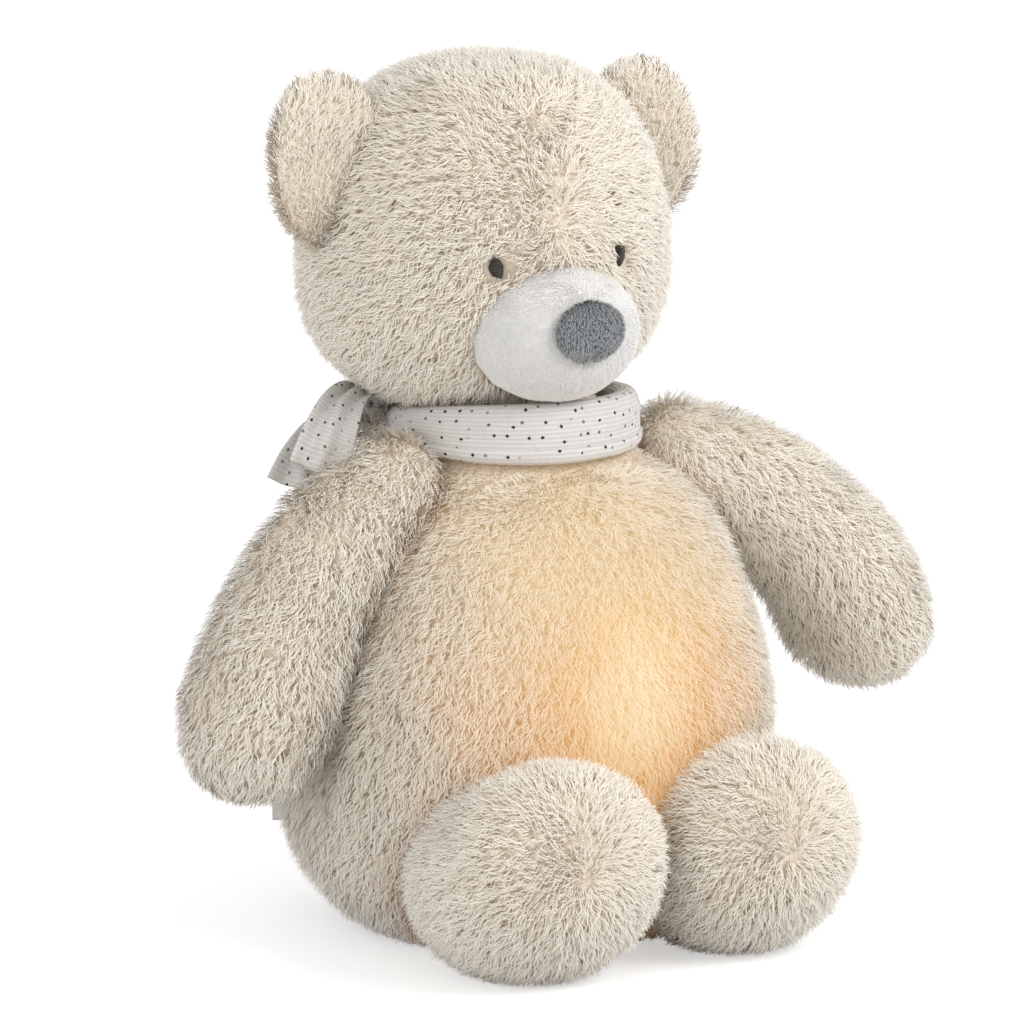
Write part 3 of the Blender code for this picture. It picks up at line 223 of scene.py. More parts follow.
REAR_END_LIFT = 0.0040
FRONT_END_PHASE = 0.4
REAR_END_PHASE = 1.9
HEM_RISE = 0.0034
HEM_STEP = 0.0004
HEM_STITCH_RADIUS = 0.00014

# Label, lining and closure tapes
LABEL_TURN = math.radians(28)
LABEL_LAYERS_APART = 0.00036
LABEL_THICKNESS = 0.00022
LABEL_COLUMNS = 14
LABEL_FOLD_STEPS = 6
LABEL_CURL = 0.0007
LABEL_PITCH = 0.001
TAPE_LOOP_LENGTH = 0.0012
TAPE_LOOP_WIDTH = 0.00016
TAPE_LOOP_DENSITY = 9000000
TAPE_HOOK_LENGTH = 0.0007
TAPE_HOOK_DENSITY = 5000000
LINING_CREASE = 0.0002

# Belly glow
GLOW_CENTRE = Vector((0, -0.078, 0.104))
GLOW_STRETCH = (1.0, 0.6, 0.78)
GLOW_RADIUS = 0.091
GLOW_CORE = 0.024
GLOW_UNEVENNESS = 0.006
GLOW_TINT_SHARE = 0.62
GLOW_WIDE_LIGHT = 0.46
GLOW_CORE_LIGHT = 0.08
LAMP_LIGHT = 0.45

# Textures: features to the metre, and the heights of bumps
CLOUD_SCALE = 30
PATCH_SCALE = 45
KNIT_SCALE = 900
KNIT_PATCH_SCALE = 60
KNIT_BUMP = 0.0008
NAP_SCALE = 1400
NAP_PATCH_SCALE = 110
NAP_BUMP = 0.0004
WORM_SCALE = 1100
WORM_BUMP = 0.0005
TWIST_SCALE = 2600
TWIST_BUMP = 0.0002
RIB_SCALE = 190
WARP_SCALE = 420
SLUB_SCALE = 260
DOT_SCALE = 178
DOT_EDGE_SCALE = 3000
MUSLIN_BUMP = 0.0003
PLASTIC_SCALE = 2200
BOARD_SCALE = 900
WEAR_SCALE = 70
PLASTIC_BUMP = 0.0001

# Colours, linear
CREAM_TIP = (0.972, 0.912, 0.800, 1)
CREAM_MIDDLE = (0.945, 0.868, 0.742, 1)
# Painted shade deep in the pile, at the roots of the locks
CREAM_ROOT_SHADE = (0.790, 0.655, 0.505, 1)
CREAM_COOL = (0.962, 0.918, 0.825, 1)
CREAM_DUSTY = (0.93, 0.89, 0.84, 1)
# Painted crease shade, browning the pile where pieces meet
CREASE_SHADE_BROWN = (0.600, 0.330, 0.180, 1)
GLOW_CLOTH = (0.16, 0.13, 0.10, 1)
GLOW_PALE = (1.00, 0.73, 0.36, 1)
GLOW_DEEP = (1.00, 0.51, 0.13, 1)
LAMP_GLOW = (1.0, 0.72, 0.36, 1)
LAMP_WHITE = (0.95, 0.90, 0.80, 1)
VELOUR_BRIGHT = (0.95, 0.94, 0.92, 1)
VELOUR_WHITE = (0.93, 0.915, 0.89, 1)
VELOUR_SHADE = (0.80, 0.78, 0.755, 1)
NOSE_LIGHT = (0.44, 0.455, 0.47, 1)
NOSE_GREY = (0.33, 0.345, 0.355, 1)
NOSE_DARK = (0.120, 0.128, 0.135, 1)
THREAD_DARK = (0.018, 0.015, 0.013, 1)
THREAD_LIGHT = (0.060, 0.050, 0.042, 1)
MUSLIN_WHITE = (0.74, 0.715, 0.69, 1)
MUSLIN_SHADE = (0.61, 0.585, 0.56, 1)
DOT_BLACK = (0.020, 0.022, 0.022, 1)
DOT_GREY = (0.33, 0.33, 0.31, 1)
PLASTIC_WHITE = (0.80, 0.79, 0.76, 1)
PLASTIC_GREY = (0.42, 0.44, 0.46, 1)
PLASTIC_BLACK = (0.03, 0.03, 0.03, 1)
BOARD_GREEN = (0.03, 0.17, 0.08, 1)
STEEL_GREY = (0.62, 0.62, 0.60, 1)
SLEEVE_GREEN = (0.12, 0.26, 0.19, 1)
JACKET_RED = (0.42, 0.05, 0.04, 1)
FLOOR_GREY = (0.80, 0.80, 0.80, 1)
WHITE = (1, 1, 1, 1)

# Plain cloths: colour, threads to the metre, and depth of the weave
HEM_THREAD = ((0.80, 0.79, 0.77, 1), 3000, 0.0001)
LABEL_WEAVE = ((0.80, 0.79, 0.77, 1), 2400, 0.0002)
LINING_WEAVE = ((0.74, 0.70, 0.65, 1), 1500, 0.0003)
TAPE_WEAVE = ((0.80, 0.79, 0.76, 1), 3000, 0.0002)


# Small helpers


def unit(vectors):
    return vectors / np.maximum(np.linalg.norm(vectors, axis=1, keepdims=True), 1e-9)


def along_surface(ways, normals):
    """The ways laid flat on the surface."""
    return unit(ways - normals * (ways * normals).sum(1, keepdims=True))


def read_vectors(items, name):
    values = np.empty(len(items) * 3, np.float32)
    items.foreach_get(name, values)
    return values.reshape(-1, 3).astype(np.float64)


def surface_of(mesh):
    """The mesh's points and the smooth normal at each."""
    return read_vectors(mesh.vertices, "co"), read_vectors(mesh.vertices, "normal")


def move_points(mesh, points):
    mesh.vertices.foreach_set("co", points.astype(np.float32).ravel())
    mesh.update()
    return mesh


def triangles_of(mesh):
    mesh.calc_loop_triangles()
    corners = np.empty(len(mesh.loop_triangles) * 3, np.int32)
    mesh.loop_triangles.foreach_get("vertices", corners)
    return corners.reshape(-1, 3)


def smooth_shade(mesh):
    mesh.shade_smooth()
    return mesh


def new_object(name, data):
    made = bpy.data.objects.new(name, data)
    bpy.context.scene.collection.objects.link(made)
    return made


def add_object(name, mesh, material, body, node=None):
    """A visible piece on its body, which takes the place of a CAD node where one is named."""
    made = new_object(name, mesh)
    made.data.materials.clear()
    made.data.materials.append(material)
    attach(made, body)
    if node:
        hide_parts(node)
    return made


def middle_of(node):
    low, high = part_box(node)
    return (low + high) / 2


def field(points, size, offset):
    """A smooth random vector at each point, with features of the given size."""
    shift = Vector((offset, offset, offset))
    return np.array([noise.noise_vector(Vector(point) / size + shift) for point in points])


# Materials


def connect(tree, socket, value):
    if isinstance(value, bpy.types.NodeSocket):
        tree.links.new(value, socket)
    else:
        socket.default_value = value


def set_inputs(tree, node, inputs):
    for name, value in inputs.items():
        connect(tree, node.inputs[name], value)


def add_node(tree, kind, inputs=(), **settings):
    made = tree.nodes.new("ShaderNode" + kind)
    for name, value in settings.items():
        setattr(made, name, value)
    set_inputs(tree, made, dict(inputs))
    return made


def new_material(name, roughness, metallic=0.0):
    material = bpy.data.materials.new(name)
    material.use_nodes = True
    tree = material.node_tree
    shader = tree.nodes["Principled BSDF"]
    set_inputs(tree, shader, {"Roughness": roughness, "Metallic": metallic})
    return material, tree, shader


def object_place(tree):
    return add_node(tree, "TexCoord").outputs["Object"]


def noise_value(tree, place, scale, detail=3.0, distortion=0.0):
    inputs = {"Vector": place, "Scale": scale, "Detail": detail, "Distortion": distortion}
    return add_node(tree, "TexNoise", inputs).outputs["Fac"]


def mixed(tree, factor, first, second, blend="MIX"):
    made = add_node(tree, "Mix", data_type="RGBA", blend_type=blend)
    for index, value in ((0, factor), (6, first), (7, second)):
        connect(tree, made.inputs[index], value)
    return made.outputs[2]


def ranged(tree, value, low, high, to_low=0.0, to_high=1.0, smooth=False):
    kind = "SMOOTHSTEP" if smooth else "LINEAR"
    inputs = {"Value": value, "From Min": low, "From Max": high, "To Min": to_low, "To Max": to_high}
    return add_node(tree, "MapRange", inputs, interpolation_type=kind).outputs["Result"]


def maths(tree, operation, *values, kind="Math"):
    """The outputs of a Math node, or of a VectorMath node."""
    made = add_node(tree, kind, operation=operation)
    for socket, value in zip(made.inputs, values):
        connect(tree, socket, value)
    return made.outputs


def times(tree, first, second):
    return maths(tree, "MULTIPLY", first, second)[0]


def plus(tree, first, second):
    return maths(tree, "ADD", first, second)[0]


def larger(tree, first, second):
    return maths(tree, "MAXIMUM", first, second)[0]


def add_bump(tree, shader, height, strength, distance):
    inputs = {"Height": height, "Strength": strength, "Distance": distance}
    made = add_node(tree, "Bump", inputs)
    tree.links.new(made.outputs["Normal"], shader.inputs["Normal"])


def darker(colour, share):
    return tuple(share * part for part in colour[:3]) + (1,)


def strand_parts(tree):
    """A lock's own tint, raised by painted crease shade where pieces meet, and how far up the lock a
    place is.
    """
    strand = add_node(tree, "UVMap", uv_map="Strand").outputs["UV"]
    parts = add_node(tree, "SeparateXYZ", {"Vector": strand}).outputs
    return parts["X"], parts["Y"]


def light_undersides(tree, shader):
    """Lets the underside of a lock take light as the side of a round lock would."""
    geometry = add_node(tree, "NewGeometry").outputs
    facing = add_node(tree, "Mix", data_type="VECTOR")
    for index, name in ((0, "Backfacing"), (4, "Normal"), (5, "True Normal")):
        tree.links.new(geometry[name], facing.inputs[index])
    tree.links.new(facing.outputs[1], shader.inputs["Normal"])


def belly_glow(tree, place):
    """How strongly the lamp shows at a place, how strongly its core does, and how pale it is there."""
    apart = maths(tree, "SUBTRACT", place, GLOW_CENTRE, kind="VectorMath")[0]
    flat = maths(tree, "MULTIPLY", apart, GLOW_STRETCH, kind="VectorMath")[0]
    length = maths(tree, "LENGTH", flat, kind="VectorMath")["Value"]
    cloud = noise_value(tree, place, CLOUD_SCALE, 2.0)
    distance = plus(tree, length, ranged(tree, cloud, 0.3, 0.7, -GLOW_UNEVENNESS, GLOW_UNEVENNESS))
    wide = ranged(tree, distance, GLOW_RADIUS, GLOW_CORE / 2, smooth=True)
    core = ranged(tree, distance, GLOW_CORE * 1.3, GLOW_CORE / 4, smooth=True)
    height = add_node(tree, "SeparateXYZ", {"Vector": apart}).outputs["Z"]
    upper = ranged(tree, height, -GLOW_CORE / 2, GLOW_CORE * 1.4, 0.0, 0.9)
    return wide, core, larger(tree, core, upper)


def add_glow(tree, shader, colour, place):
    """Warms the colour near the lamp and lets it give light there."""
    wide, core, pale = belly_glow(tree, place)
    strength = plus(tree, times(tree, wide, GLOW_WIDE_LIGHT), times(tree, core, GLOW_CORE_LIGHT))
    inputs = {
        "Base Color": mixed(tree, times(tree, wide, GLOW_TINT_SHARE), colour, GLOW_CLOTH),
        "Emission Color": mixed(tree, pale, GLOW_DEEP, GLOW_PALE),
        "Emission Strength": strength,
    }
    set_inputs(tree, shader, inputs)


def plush_pile(name, glows=False):
    """Locks: brown in the depth as painted shade, cream at the tips, browner as painted crease shade
    where pieces meet, each lock a little different.
    """
    material, tree, shader = new_material(name, 0.88)
    tint, height = strand_parts(tree)
    place = object_place(tree)
    # Painted shade: each lock darkens and browns towards its root, deep in the pile
    depth = mixed(tree, ranged(tree, height, 0.0, 0.38), CREAM_ROOT_SHADE, CREAM_MIDDLE)
    patch = noise_value(tree, place, PATCH_SCALE)
    tip = mixed(tree, ranged(tree, patch, 0.35, 0.68), CREAM_TIP, CREAM_COOL)
    colour = mixed(tree, ranged(tree, height, 0.25, 0.80), depth, tip)
    colour = mixed(tree, ranged(tree, tint, 0.0, 1.0, 0.0, 0.4), colour, CREAM_DUSTY, "MULTIPLY")
    # Painted crease shade: the tint, raised by the crease depth, browns locks where pieces meet
    colour = mixed(tree, ranged(tree, tint, 0.8, 1.7, 0.0, 0.7), colour, CREASE_SHADE_BROWN)
    inputs = {
        "Base Color": colour, "Sheen Weight": 0.8, "Sheen Roughness": 0.6, "Specular IOR Level": 0.25,
    }
    set_inputs(tree, shader, inputs)
    light_undersides(tree, shader)
    if glows:
        add_glow(tree, shader, colour, place)
    return material


def plush_backing(name, glows=False):
    """The knitted ground under the pile, its knit grain mixed from the painted root shade and the middle
    cream.
    """
    material, tree, shader = new_material(name, 0.95)
    place = object_place(tree)
    fine = noise_value(tree, place, KNIT_SCALE)
    broad = noise_value(tree, place, KNIT_PATCH_SCALE, 2.0)
    colour = mixed(tree, ranged(tree, fine, 0.3, 0.7), CREAM_ROOT_SHADE, CREAM_MIDDLE)
    colour = mixed(tree, ranged(tree, broad, 0.35, 0.65, 0.0, 0.5), colour, CREAM_MIDDLE)
    set_inputs(tree, shader, {"Base Color": colour, "Specular IOR Level": 0.15})
    add_bump(tree, shader, fine, 0.6, KNIT_BUMP)
    if glows:
        add_glow(tree, shader, colour, place)
    return material


def white_velour(name):
    material, tree, shader = new_material(name, 0.92)
    stretch = {"Vector": object_place(tree), "Scale": (1.0, 1.0, 0.38)}
    brushed = add_node(tree, "Mapping", stretch).outputs[0]
    nap = noise_value(tree, brushed, NAP_SCALE, 4.0, 0.4)
    broad = noise_value(tree, brushed, NAP_PATCH_SCALE)
    colour = mixed(tree, ranged(tree, nap, 0.25, 0.6), VELOUR_SHADE, VELOUR_WHITE)
    colour = mixed(tree, ranged(tree, broad, 0.3, 0.7, 0.0, 0.35), colour, VELOUR_WHITE)
    inputs = {
        "Base Color": colour, "Sheen Weight": 0.35, "Sheen Roughness": 0.4, "Specular IOR Level": 0.2,
    }
    set_inputs(tree, shader, inputs)
    add_bump(tree, shader, nap, 0.35, NAP_BUMP)
    return material


def short_pile(name, root, tip, light_tip):
    """Short velour pile, with painted shade darkening it towards the roots between its loops."""
    material, tree, shader = new_material(name, 0.9)
    tint, height = strand_parts(tree)
    # Painted shade: the root colour at the bottom of each lock, the tip colours above
    colour = mixed(tree, ranged(tree, height, 0.1, 0.7), root, mixed(tree, tint, tip, light_tip))
    set_inputs(tree, shader, {"Base Color": colour, "Sheen Weight": 0.3, "Specular IOR Level": 0.2})
    light_undersides(tree, shader)
    return material


def grained(name, roughness, grain, span, tones, bump, inputs):
    """A cloth with one grain of noise, which mixes two tones and stands up as a bump."""
    material, tree, shader = new_material(name, roughness)
    value = noise_value(tree, object_place(tree), *grain)
    set_inputs(tree, shader, {"Base Color": mixed(tree, ranged(tree, value, *span), *tones), **inputs})
    add_bump(tree, shader, value, *bump)
    return material


def grey_velour(name):
    grain, bump = (WORM_SCALE, 2.0, 1.6), (0.7, WORM_BUMP)
    inputs = {"Specular IOR Level": 0.15}
    return grained(name, 0.95, grain, (0.35, 0.65), (NOSE_DARK, NOSE_GREY), bump, inputs)


def dark_thread(name):
    grain, bump = (TWIST_SCALE, 3.0, 0.8), (0.5, TWIST_BUMP)
    inputs = {"Sheen Weight": 0.05}
    return grained(name, 0.55, grain, (0.3, 0.75), (THREAD_DARK, THREAD_LIGHT), bump, inputs)


def plain_cloth(name, colour, scale, depth):
    """Woven tape, lining or label."""
    grain, bump = (scale, 4.0, 0.6), (0.5, depth)
    tones = (darker(colour, 0.78), colour)
    return grained(name, 0.9, grain, (0.3, 0.65), tones, bump, {"Sheen Weight": 0.2})


def woven_bands(tree, cloth, direction, scale, distortion):
    inputs = {"Vector": cloth, "Scale": scale, "Distortion": distortion, "Detail": 2.0}
    made = add_node(tree, "TexWave", inputs, wave_type="BANDS", bands_direction=direction)
    return made.outputs["Fac"]


def dotted_muslin(name):
    """Fine ribbed white muslin with small woven dots, read in metres along and across the cloth."""
    material, tree, shader = new_material(name, 0.9)
    cloth = add_node(tree, "UVMap", uv_map="Cloth").outputs["UV"]
    ribs = woven_bands(tree, cloth, "Y", RIB_SCALE, 0.8)
    threads = woven_bands(tree, cloth, "X", WARP_SCALE, 1.2)
    slub = noise_value(tree, cloth, SLUB_SCALE, 4.0)
    weave = plus(tree, times(tree, ribs, 0.65), times(tree, threads, 0.35))
    shade = ranged(tree, times(tree, weave, slub), 0.02, 0.34)
    colour = mixed(tree, shade, MUSLIN_SHADE, MUSLIN_WHITE)
    spots = add_node(
        tree, "TexVoronoi", {"Vector": cloth, "Scale": DOT_SCALE, "Randomness": 0.70},
        voronoi_dimensions="2D", distance="MANHATTAN",
    ).outputs
    edge = noise_value(tree, cloth, DOT_EDGE_SCALE, 2.0)
    ragged = plus(tree, spots["Distance"], ranged(tree, edge, 0.3, 0.7, -0.03, 0.03))
    dot = ranged(tree, ragged, 0.140, 0.118)
    tone = add_node(tree, "SeparateColor", {"Color": spots["Color"]}).outputs[0]
    ink = mixed(tree, ranged(tree, tone, 0.55, 0.95), DOT_BLACK, DOT_GREY)
    faded = ranged(tree, tone, 0.80, 1.0, 1.0, 0.45)
    colour = mixed(tree, times(tree, dot, faded), colour, ink)
    set_inputs(tree, shader, {"Base Color": colour, "Sheen Weight": 0.15, "Specular IOR Level": 0.2})
    add_bump(tree, shader, plus(tree, weave, times(tree, slub, 0.4)), 0.55, MUSLIN_BUMP)
    return material


def moulded_plastic(name, colour, roughness, metallic=0.0, grain=PLASTIC_SCALE):
    """Fine-grained plastic or metal with slight wear in its tone."""
    material, tree, shader = new_material(name, roughness, metallic)
    place = object_place(tree)
    wear = noise_value(tree, place, WEAR_SCALE, 4.0)
    inputs = {
        "Base Color": mixed(tree, ranged(tree, wear, 0.35, 0.75), colour, darker(colour, 0.86)),
        "Roughness": ranged(tree, wear, 0.3, 0.7, roughness * 0.85, roughness * 1.15),
    }
    set_inputs(tree, shader, inputs)
    add_bump(tree, shader, noise_value(tree, place, grain), 0.12, PLASTIC_BUMP)
    return material


def lamp_plastic(name):
    """Frosted dome, lit from inside."""
    material = moulded_plastic(name, LAMP_WHITE, 0.38)
    tree = material.node_tree
    inputs = {"Emission Color": LAMP_GLOW, "Emission Strength": LAMP_LIGHT}
    set_inputs(tree, tree.nodes["Principled BSDF"], inputs)
    return material


# Stuffed skins


def remeshed(name, node, voxel, smoothings):
    """A copy of a CAD node as an even, softened mesh."""
    copy = new_object(name + "_form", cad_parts[node].data.copy())
    even = copy.modifiers.new("even", "REMESH")
    even.mode = "VOXEL"
    even.voxel_size = voxel
    soft = copy.modifiers.new("soft", "SMOOTH")
    soft.iterations = smoothings
    soft.factor = 0.5
    graph = bpy.context.evaluated_depsgraph_get()
    mesh = bpy.data.meshes.new_from_object(copy.evaluated_get(graph))
    bpy.data.objects.remove(copy)
    mesh.name = name
    return smooth_shade(mesh)


def lump(mesh):
    """Gives stuffing's slight unevenness, and keeps the flat seat on the floor."""
    points, normals = surface_of(mesh)
    moved = points + normals * field(points, *LUMP_FIELD)[:, :1] * LUMP_HEIGHT
    moved[:, 2] = np.maximum(moved[:, 2], np.minimum(points[:, 2], FLOOR_CLEARANCE))
    return move_points(mesh, moved)


def tree_of(names):
    """A search tree over CAD solids, and over scarf cloth where that is named."""
    points, faces, start = [], [], 0
    for name in names:
        mesh = (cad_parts.get(name) or bpy.data.objects[name]).data
        points.append(read_vectors(mesh.vertices, "co"))
        faces.append(triangles_of(mesh) + start)
        start += len(points[-1])
    return BVHTree.FromPolygons(np.concatenate(points).tolist(), np.concatenate(faces).tolist())


def others_tree(own, covered):
    """The solids that a piece's pile keeps clear of: all but its own and those that it covers."""
    return tree_of(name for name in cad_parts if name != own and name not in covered)


def nearness(tree, roots, reach):
    """How near each root is to a tree's surface: 0 at the reach and beyond, 1 on the surface."""
    near = np.zeros(len(roots))
    for index, root in enumerate(roots):
        found = tree.find_nearest(Vector(root), reach)
        if found[0] is not None:
            near[index] = 1 - found[3] / reach
    return near


def pressed_by_scarf(own, roots):
    """The share of its length that the pile keeps near the scarf, which presses it down."""
    if own not in ("torso", "arm_right"):
        return np.ones(len(roots))
    near = nearness(tree_of(SCARF_PIECES), roots, PRESSED_REACH)
    return np.maximum(PRESSED_SHARE, 1 - near)


def crease_shade_depth(own, roots):
    """How deep each root lies where two stuffed pieces meet, which sets how much painted crease shade its
    lock takes.
    """
    if own not in CREASE_SHADE_PIECES:
        return np.zeros(len(roots))
    return nearness(tree_of(name for name in CREASE_SHADE_PIECES if name != own), roots, CREASE_SHADE_REACH)


# Pile


def scatter(mesh, density, rng):
    """Random places on a mesh, with the smooth normal at each."""
    points, normals = surface_of(mesh)
    corners = triangles_of(mesh)
    a, b, c = (points[corners[:, index]] for index in range(3))
    areas = np.linalg.norm(np.cross(b - a, c - a), axis=1) / 2
    count = int(areas.sum() * density)
    chosen = rng.choice(len(corners), count, p=areas / areas.sum())
    first, second = rng.random((2, count, 1))
    flip = first + second > 1
    first, second = np.where(flip, 1 - first, first), np.where(flip, 1 - second, second)
    weights = (1 - first - second, first, second)
    roots = sum(weight * points[corners[chosen, index]] for index, weight in enumerate(weights))
    facing = sum(weight * normals[corners[chosen, index]] for index, weight in enumerate(weights))
    return roots, unit(facing)


def room_over(tree, roots, facing, least=0):
    """The share of full length that a lock has room for at each root, and at least the least one."""
    shares = np.ones(len(roots))
    for index, (root, normal) in enumerate(zip(roots, facing)):
        start, way = Vector(root), Vector(normal)
        near = tree.find_nearest(start, CLEAR_OF_OTHERS)
        if near[0] is not None and (near[0] - start).dot(way) > -near[3] * SIDEWAYS_SHARE:
            shares[index] = least
            continue
        hit = tree.ray_cast(start, way, PILE_REACH)
        if hit[0] is not None:
            shares[index] = max(least, hit[3] / PILE_REACH)
    return shares


def cut_at(tree, line, least=0):
    """Shortens each lock that would run into a neighbour, though not below the least share."""
    root = line[0]
    spans = line[-1] - root
    reach = np.linalg.norm(spans, axis=1)
    kept = np.ones(len(root))
    for index, (start, span) in enumerate(zip(root, spans)):
        hit = tree.ray_cast(Vector(start), Vector(span), float(reach[index]))
        if hit[0] is not None:
            kept[index] = hit[3] / reach[index] * CUT_SHARE
    kept = np.maximum(kept, least)
    return [root + (points - root) * kept[:, None] for points in line], kept


def eye_spans(points, eyes):
    """How far each point is from the nearest eye, 1 at the edge of its clear oval."""
    spans = np.full(len(points), np.inf)
    for low, high in eyes:
        centre = np.array((low + high) / 2)
        reach = np.array((high - low) / 2) + EYE_MARGIN
        reach[1] = EYE_PILE_DEPTH
        spans = np.minimum(spans, np.sqrt((((points - centre) / reach) ** 2).sum(1)))
    return spans


def over_an_eye(line, eyes):
    """True for each lock that would lie across an eye."""
    found = np.zeros(len(line[0]), bool)
    for here, there in zip(line, line[1:]):
        for share in (0, 0.5, 1):
            found |= eye_spans(here + (there - here) * share, eyes) < 1
    return found


def lock_points(roots, normals, ways, lengths, flat, wave, rng):
    """Centre line of each lock: it rises, then lies over along its way, waving with its neighbours."""
    count = len(roots)
    sides = np.cross(normals, ways)
    phase = field(roots, *WAVE_FIELD)[:, :1] * 2 * math.pi
    phase = phase + rng.normal(0, LOCK_PHASE_SPREAD, (count, 1))
    tilt = rng.normal(0, LEAN_SPREAD, (count, 1))
    step = lengths[:, None] / len(LOCK_LEANS)
    line = [roots]
    for index, lean in enumerate(LOCK_LEANS):
        flattened = lean + (FLATTEST_LEAN - lean) * flat[:, None] + tilt
        angle = np.radians(np.clip(flattened, LEAST_LEAN, MOST_LEAN))
        turn = wave * np.sin(phase + index * LOCK_WAVE_STEP)
        level = ways * np.cos(turn) + sides * np.sin(turn)
        line.append(line[-1] + step * (normals * np.cos(angle) + level * np.sin(angle)))
    return line, sides


def bake_places(count):
    """A place in a grid of cells for each point of each lock, so that no two locks share one."""
    row, column = np.divmod(np.arange(count), BAKE_CELLS)
    room = 1 - 2 * BAKE_MARGIN_SHARE
    placed = []
    for number, shares in ((column, LOCK_ACROSS_SHARES), (row, LOCK_HEIGHT_SHARES)):
        placed.append((number[:, None] + BAKE_MARGIN_SHARE + room * np.array(shares)) / BAKE_CELLS)
    return np.stack(placed, -1)


def lock_mesh(name, line, sides, normals, widths, tint):
    """All locks as one mesh: two quads and a tip each, shaded as if round."""
    count = len(line[0])
    points, facing = [], []
    for index, share in enumerate(LOCK_WIDTH_SHARES):
        run = unit(line[index + 1] - line[index])
        out = unit(np.cross(run, sides))
        out = out * np.sign((out * normals).sum(1, keepdims=True) + 1e-6)
        soft = unit(out + normals * LOCK_SOFTNESS)
        half = sides * widths[:, None] * share / 2
        for sign in (-1, 1):
            points.append(line[index] + sign * half)
            facing.append(unit(soft + sign * sides * LOCK_ROUNDNESS))
    points.append(line[-1])
    facing.append(soft)
    places = np.stack(points, 1).reshape(-1, 3)
    places[:, 2] = np.maximum(places[:, 2], FLOOR_CLEARANCE)
    pattern = np.array([1, 0, 2, 3, 3, 2, 4, 5, 5, 4, 6])
    corners = (np.arange(count)[:, None] * len(points) + pattern).ravel()
    starts = (np.arange(count)[:, None] * len(pattern) + np.array([0, 4, 8])).ravel()
    mesh = bpy.data.meshes.new(name)
    mesh.vertices.add(len(places))
    mesh.vertices.foreach_set("co", places.astype(np.float32).ravel())
    mesh.loops.add(len(corners))
    mesh.loops.foreach_set("vertex_index", corners.astype(np.int32))
    mesh.polygons.add(len(starts))
    mesh.polygons.foreach_set("loop_start", starts.astype(np.int32))
    mesh.update(calc_edges=True)
    smooth_shade(mesh)
    strand = np.stack(np.broadcast_arrays(tint[:, None], np.array(LOCK_HEIGHT_SHARES)[None, :]), -1)
    for map_name, values in (("OFBake", bake_places(count)), ("Strand", strand)):
        layer = mesh.uv_layers.new(name=map_name)
        per_corner = values.reshape(-1, 2)[corners]
        layer.uv.foreach_set("vector", per_corner.astype(np.float32).ravel())
    mesh.normals_split_custom_set_from_vertices(np.stack(facing, 1).reshape(-1, 3))
    return mesh


def grow_pile(
    name, skin_mesh, node, body, material, slot, flow,
    length=LOCK_LENGTH, width=LOCK_WIDTH, density=LOCK_DENSITY, wave=LOCK_WAVE, eyes=(), seed=1,
):
    """Covers a skin with locks, in as many pieces as their number asks for."""
    rng = np.random.default_rng(seed)
    roots, normals = scatter(skin_mesh, density, rng)
    covered = ["scarf_knot"]
    soft = [other for other in STUFFED if other not in (node, SEWN_TO.get(node))]
    if node in ("head", "arm_right", "arm_left"):
        covered += ["scarf_band", "scarf_tail_front", "scarf_tail_back"]
    under_scarf = node in ("arm_right", "arm_left")
    tree = others_tree(node, covered + soft)
    soft_tree = tree_of(soft + list(SCARF_PIECES) if under_scarf else soft)
    shares = room_over(others_tree(node, covered + soft + ["muzzle"]), roots, normals)
    kept = (shares > SHORTEST_SHARE / 2) & (roots[:, 2] > FLOOR_CLEARANCE * 2)
    roots, normals, shares = roots[kept], normals[kept], shares[kept]
    soft_shares = room_over(soft_tree, roots, normals, SOFT_SHARE)
    flat = (1 - soft_shares) / (1 - SOFT_SHARE)
    shares = np.minimum(shares, soft_shares)
    ways = flow(roots)
    ways = ways + field(roots, *SWIRL_FIELD) * SWIRL_SHARE + field(roots, *CLUMP_FIELD) * CLUMP_SHARE
    ways = along_surface(ways + rng.normal(0, LOCK_TURN_SPREAD / 2, ways.shape), normals)
    shares = np.clip(shares * 1.25, SHORTEST_SHARE, 1)
    shares = shares * np.clip(eye_spans(roots, eyes) / EYE_FADE_SPAN, SHORTEST_SHARE, 1)
    shares = shares * pressed_by_scarf(node, roots)
    lengths = length * shares * rng.uniform(0.8, 1.15, len(roots))
    line, sides = lock_points(roots, normals, ways, lengths, flat, wave, rng)
    line, _ = cut_at(soft_tree, line, SOFT_CUT_SHARE + (1 - SOFT_CUT_SHARE) * flat)
    line, left = cut_at(tree, line)
    if under_scarf:
        line, left_by_scarf = cut_at(tree_of(SCARF_PIECES), line)
        left = left * left_by_scarf
    crease = crease_shade_depth(node, roots)
    widths = width * rng.uniform(0.75, 1.2, len(roots))
    order = np.argsort(roots[:, 2])
    order = order[~over_an_eye(line, eyes)[order] & (left[order] > SHORTEST_SHARE / 2)]
    pieces = math.ceil(len(order) / MOST_LOCKS)
    for index, chosen in enumerate(np.array_split(order, pieces)):
        piece_name = name if pieces == 1 else f"{name}_{index + 1}"
        piece_line = [points[chosen] for points in line]
        # The crease depth added to the random tint carries the painted crease shade
        tint = rng.random(len(chosen)) + crease[chosen]
        mesh = lock_mesh(piece_name, piece_line, sides[chosen], normals[chosen], widths[chosen], tint)
        add_object(piece_name, mesh, material, body)
        print(piece_name, len(chosen), "locks")


def pile_from(centre, outward, fall=1.0):
    """Pile that lies away from a centre and down the body."""

    def flow(points):
        return unit(points - np.array(centre)) * outward + np.array([0, 0, -fall])

    return flow


# The bear's stuffed pieces


def make_stuffed(node, body, voxel, flow, backing, pile, fill, seed, **growth):
    mesh = lump(remeshed(node + "_skin", node, voxel, SKIN_SMOOTHINGS))
    skin = add_object(node + "_skin", mesh, backing, body, node)
    grow_pile(node + "_pile", mesh, node, body, pile, "cream_plush", flow, seed=seed, **growth)


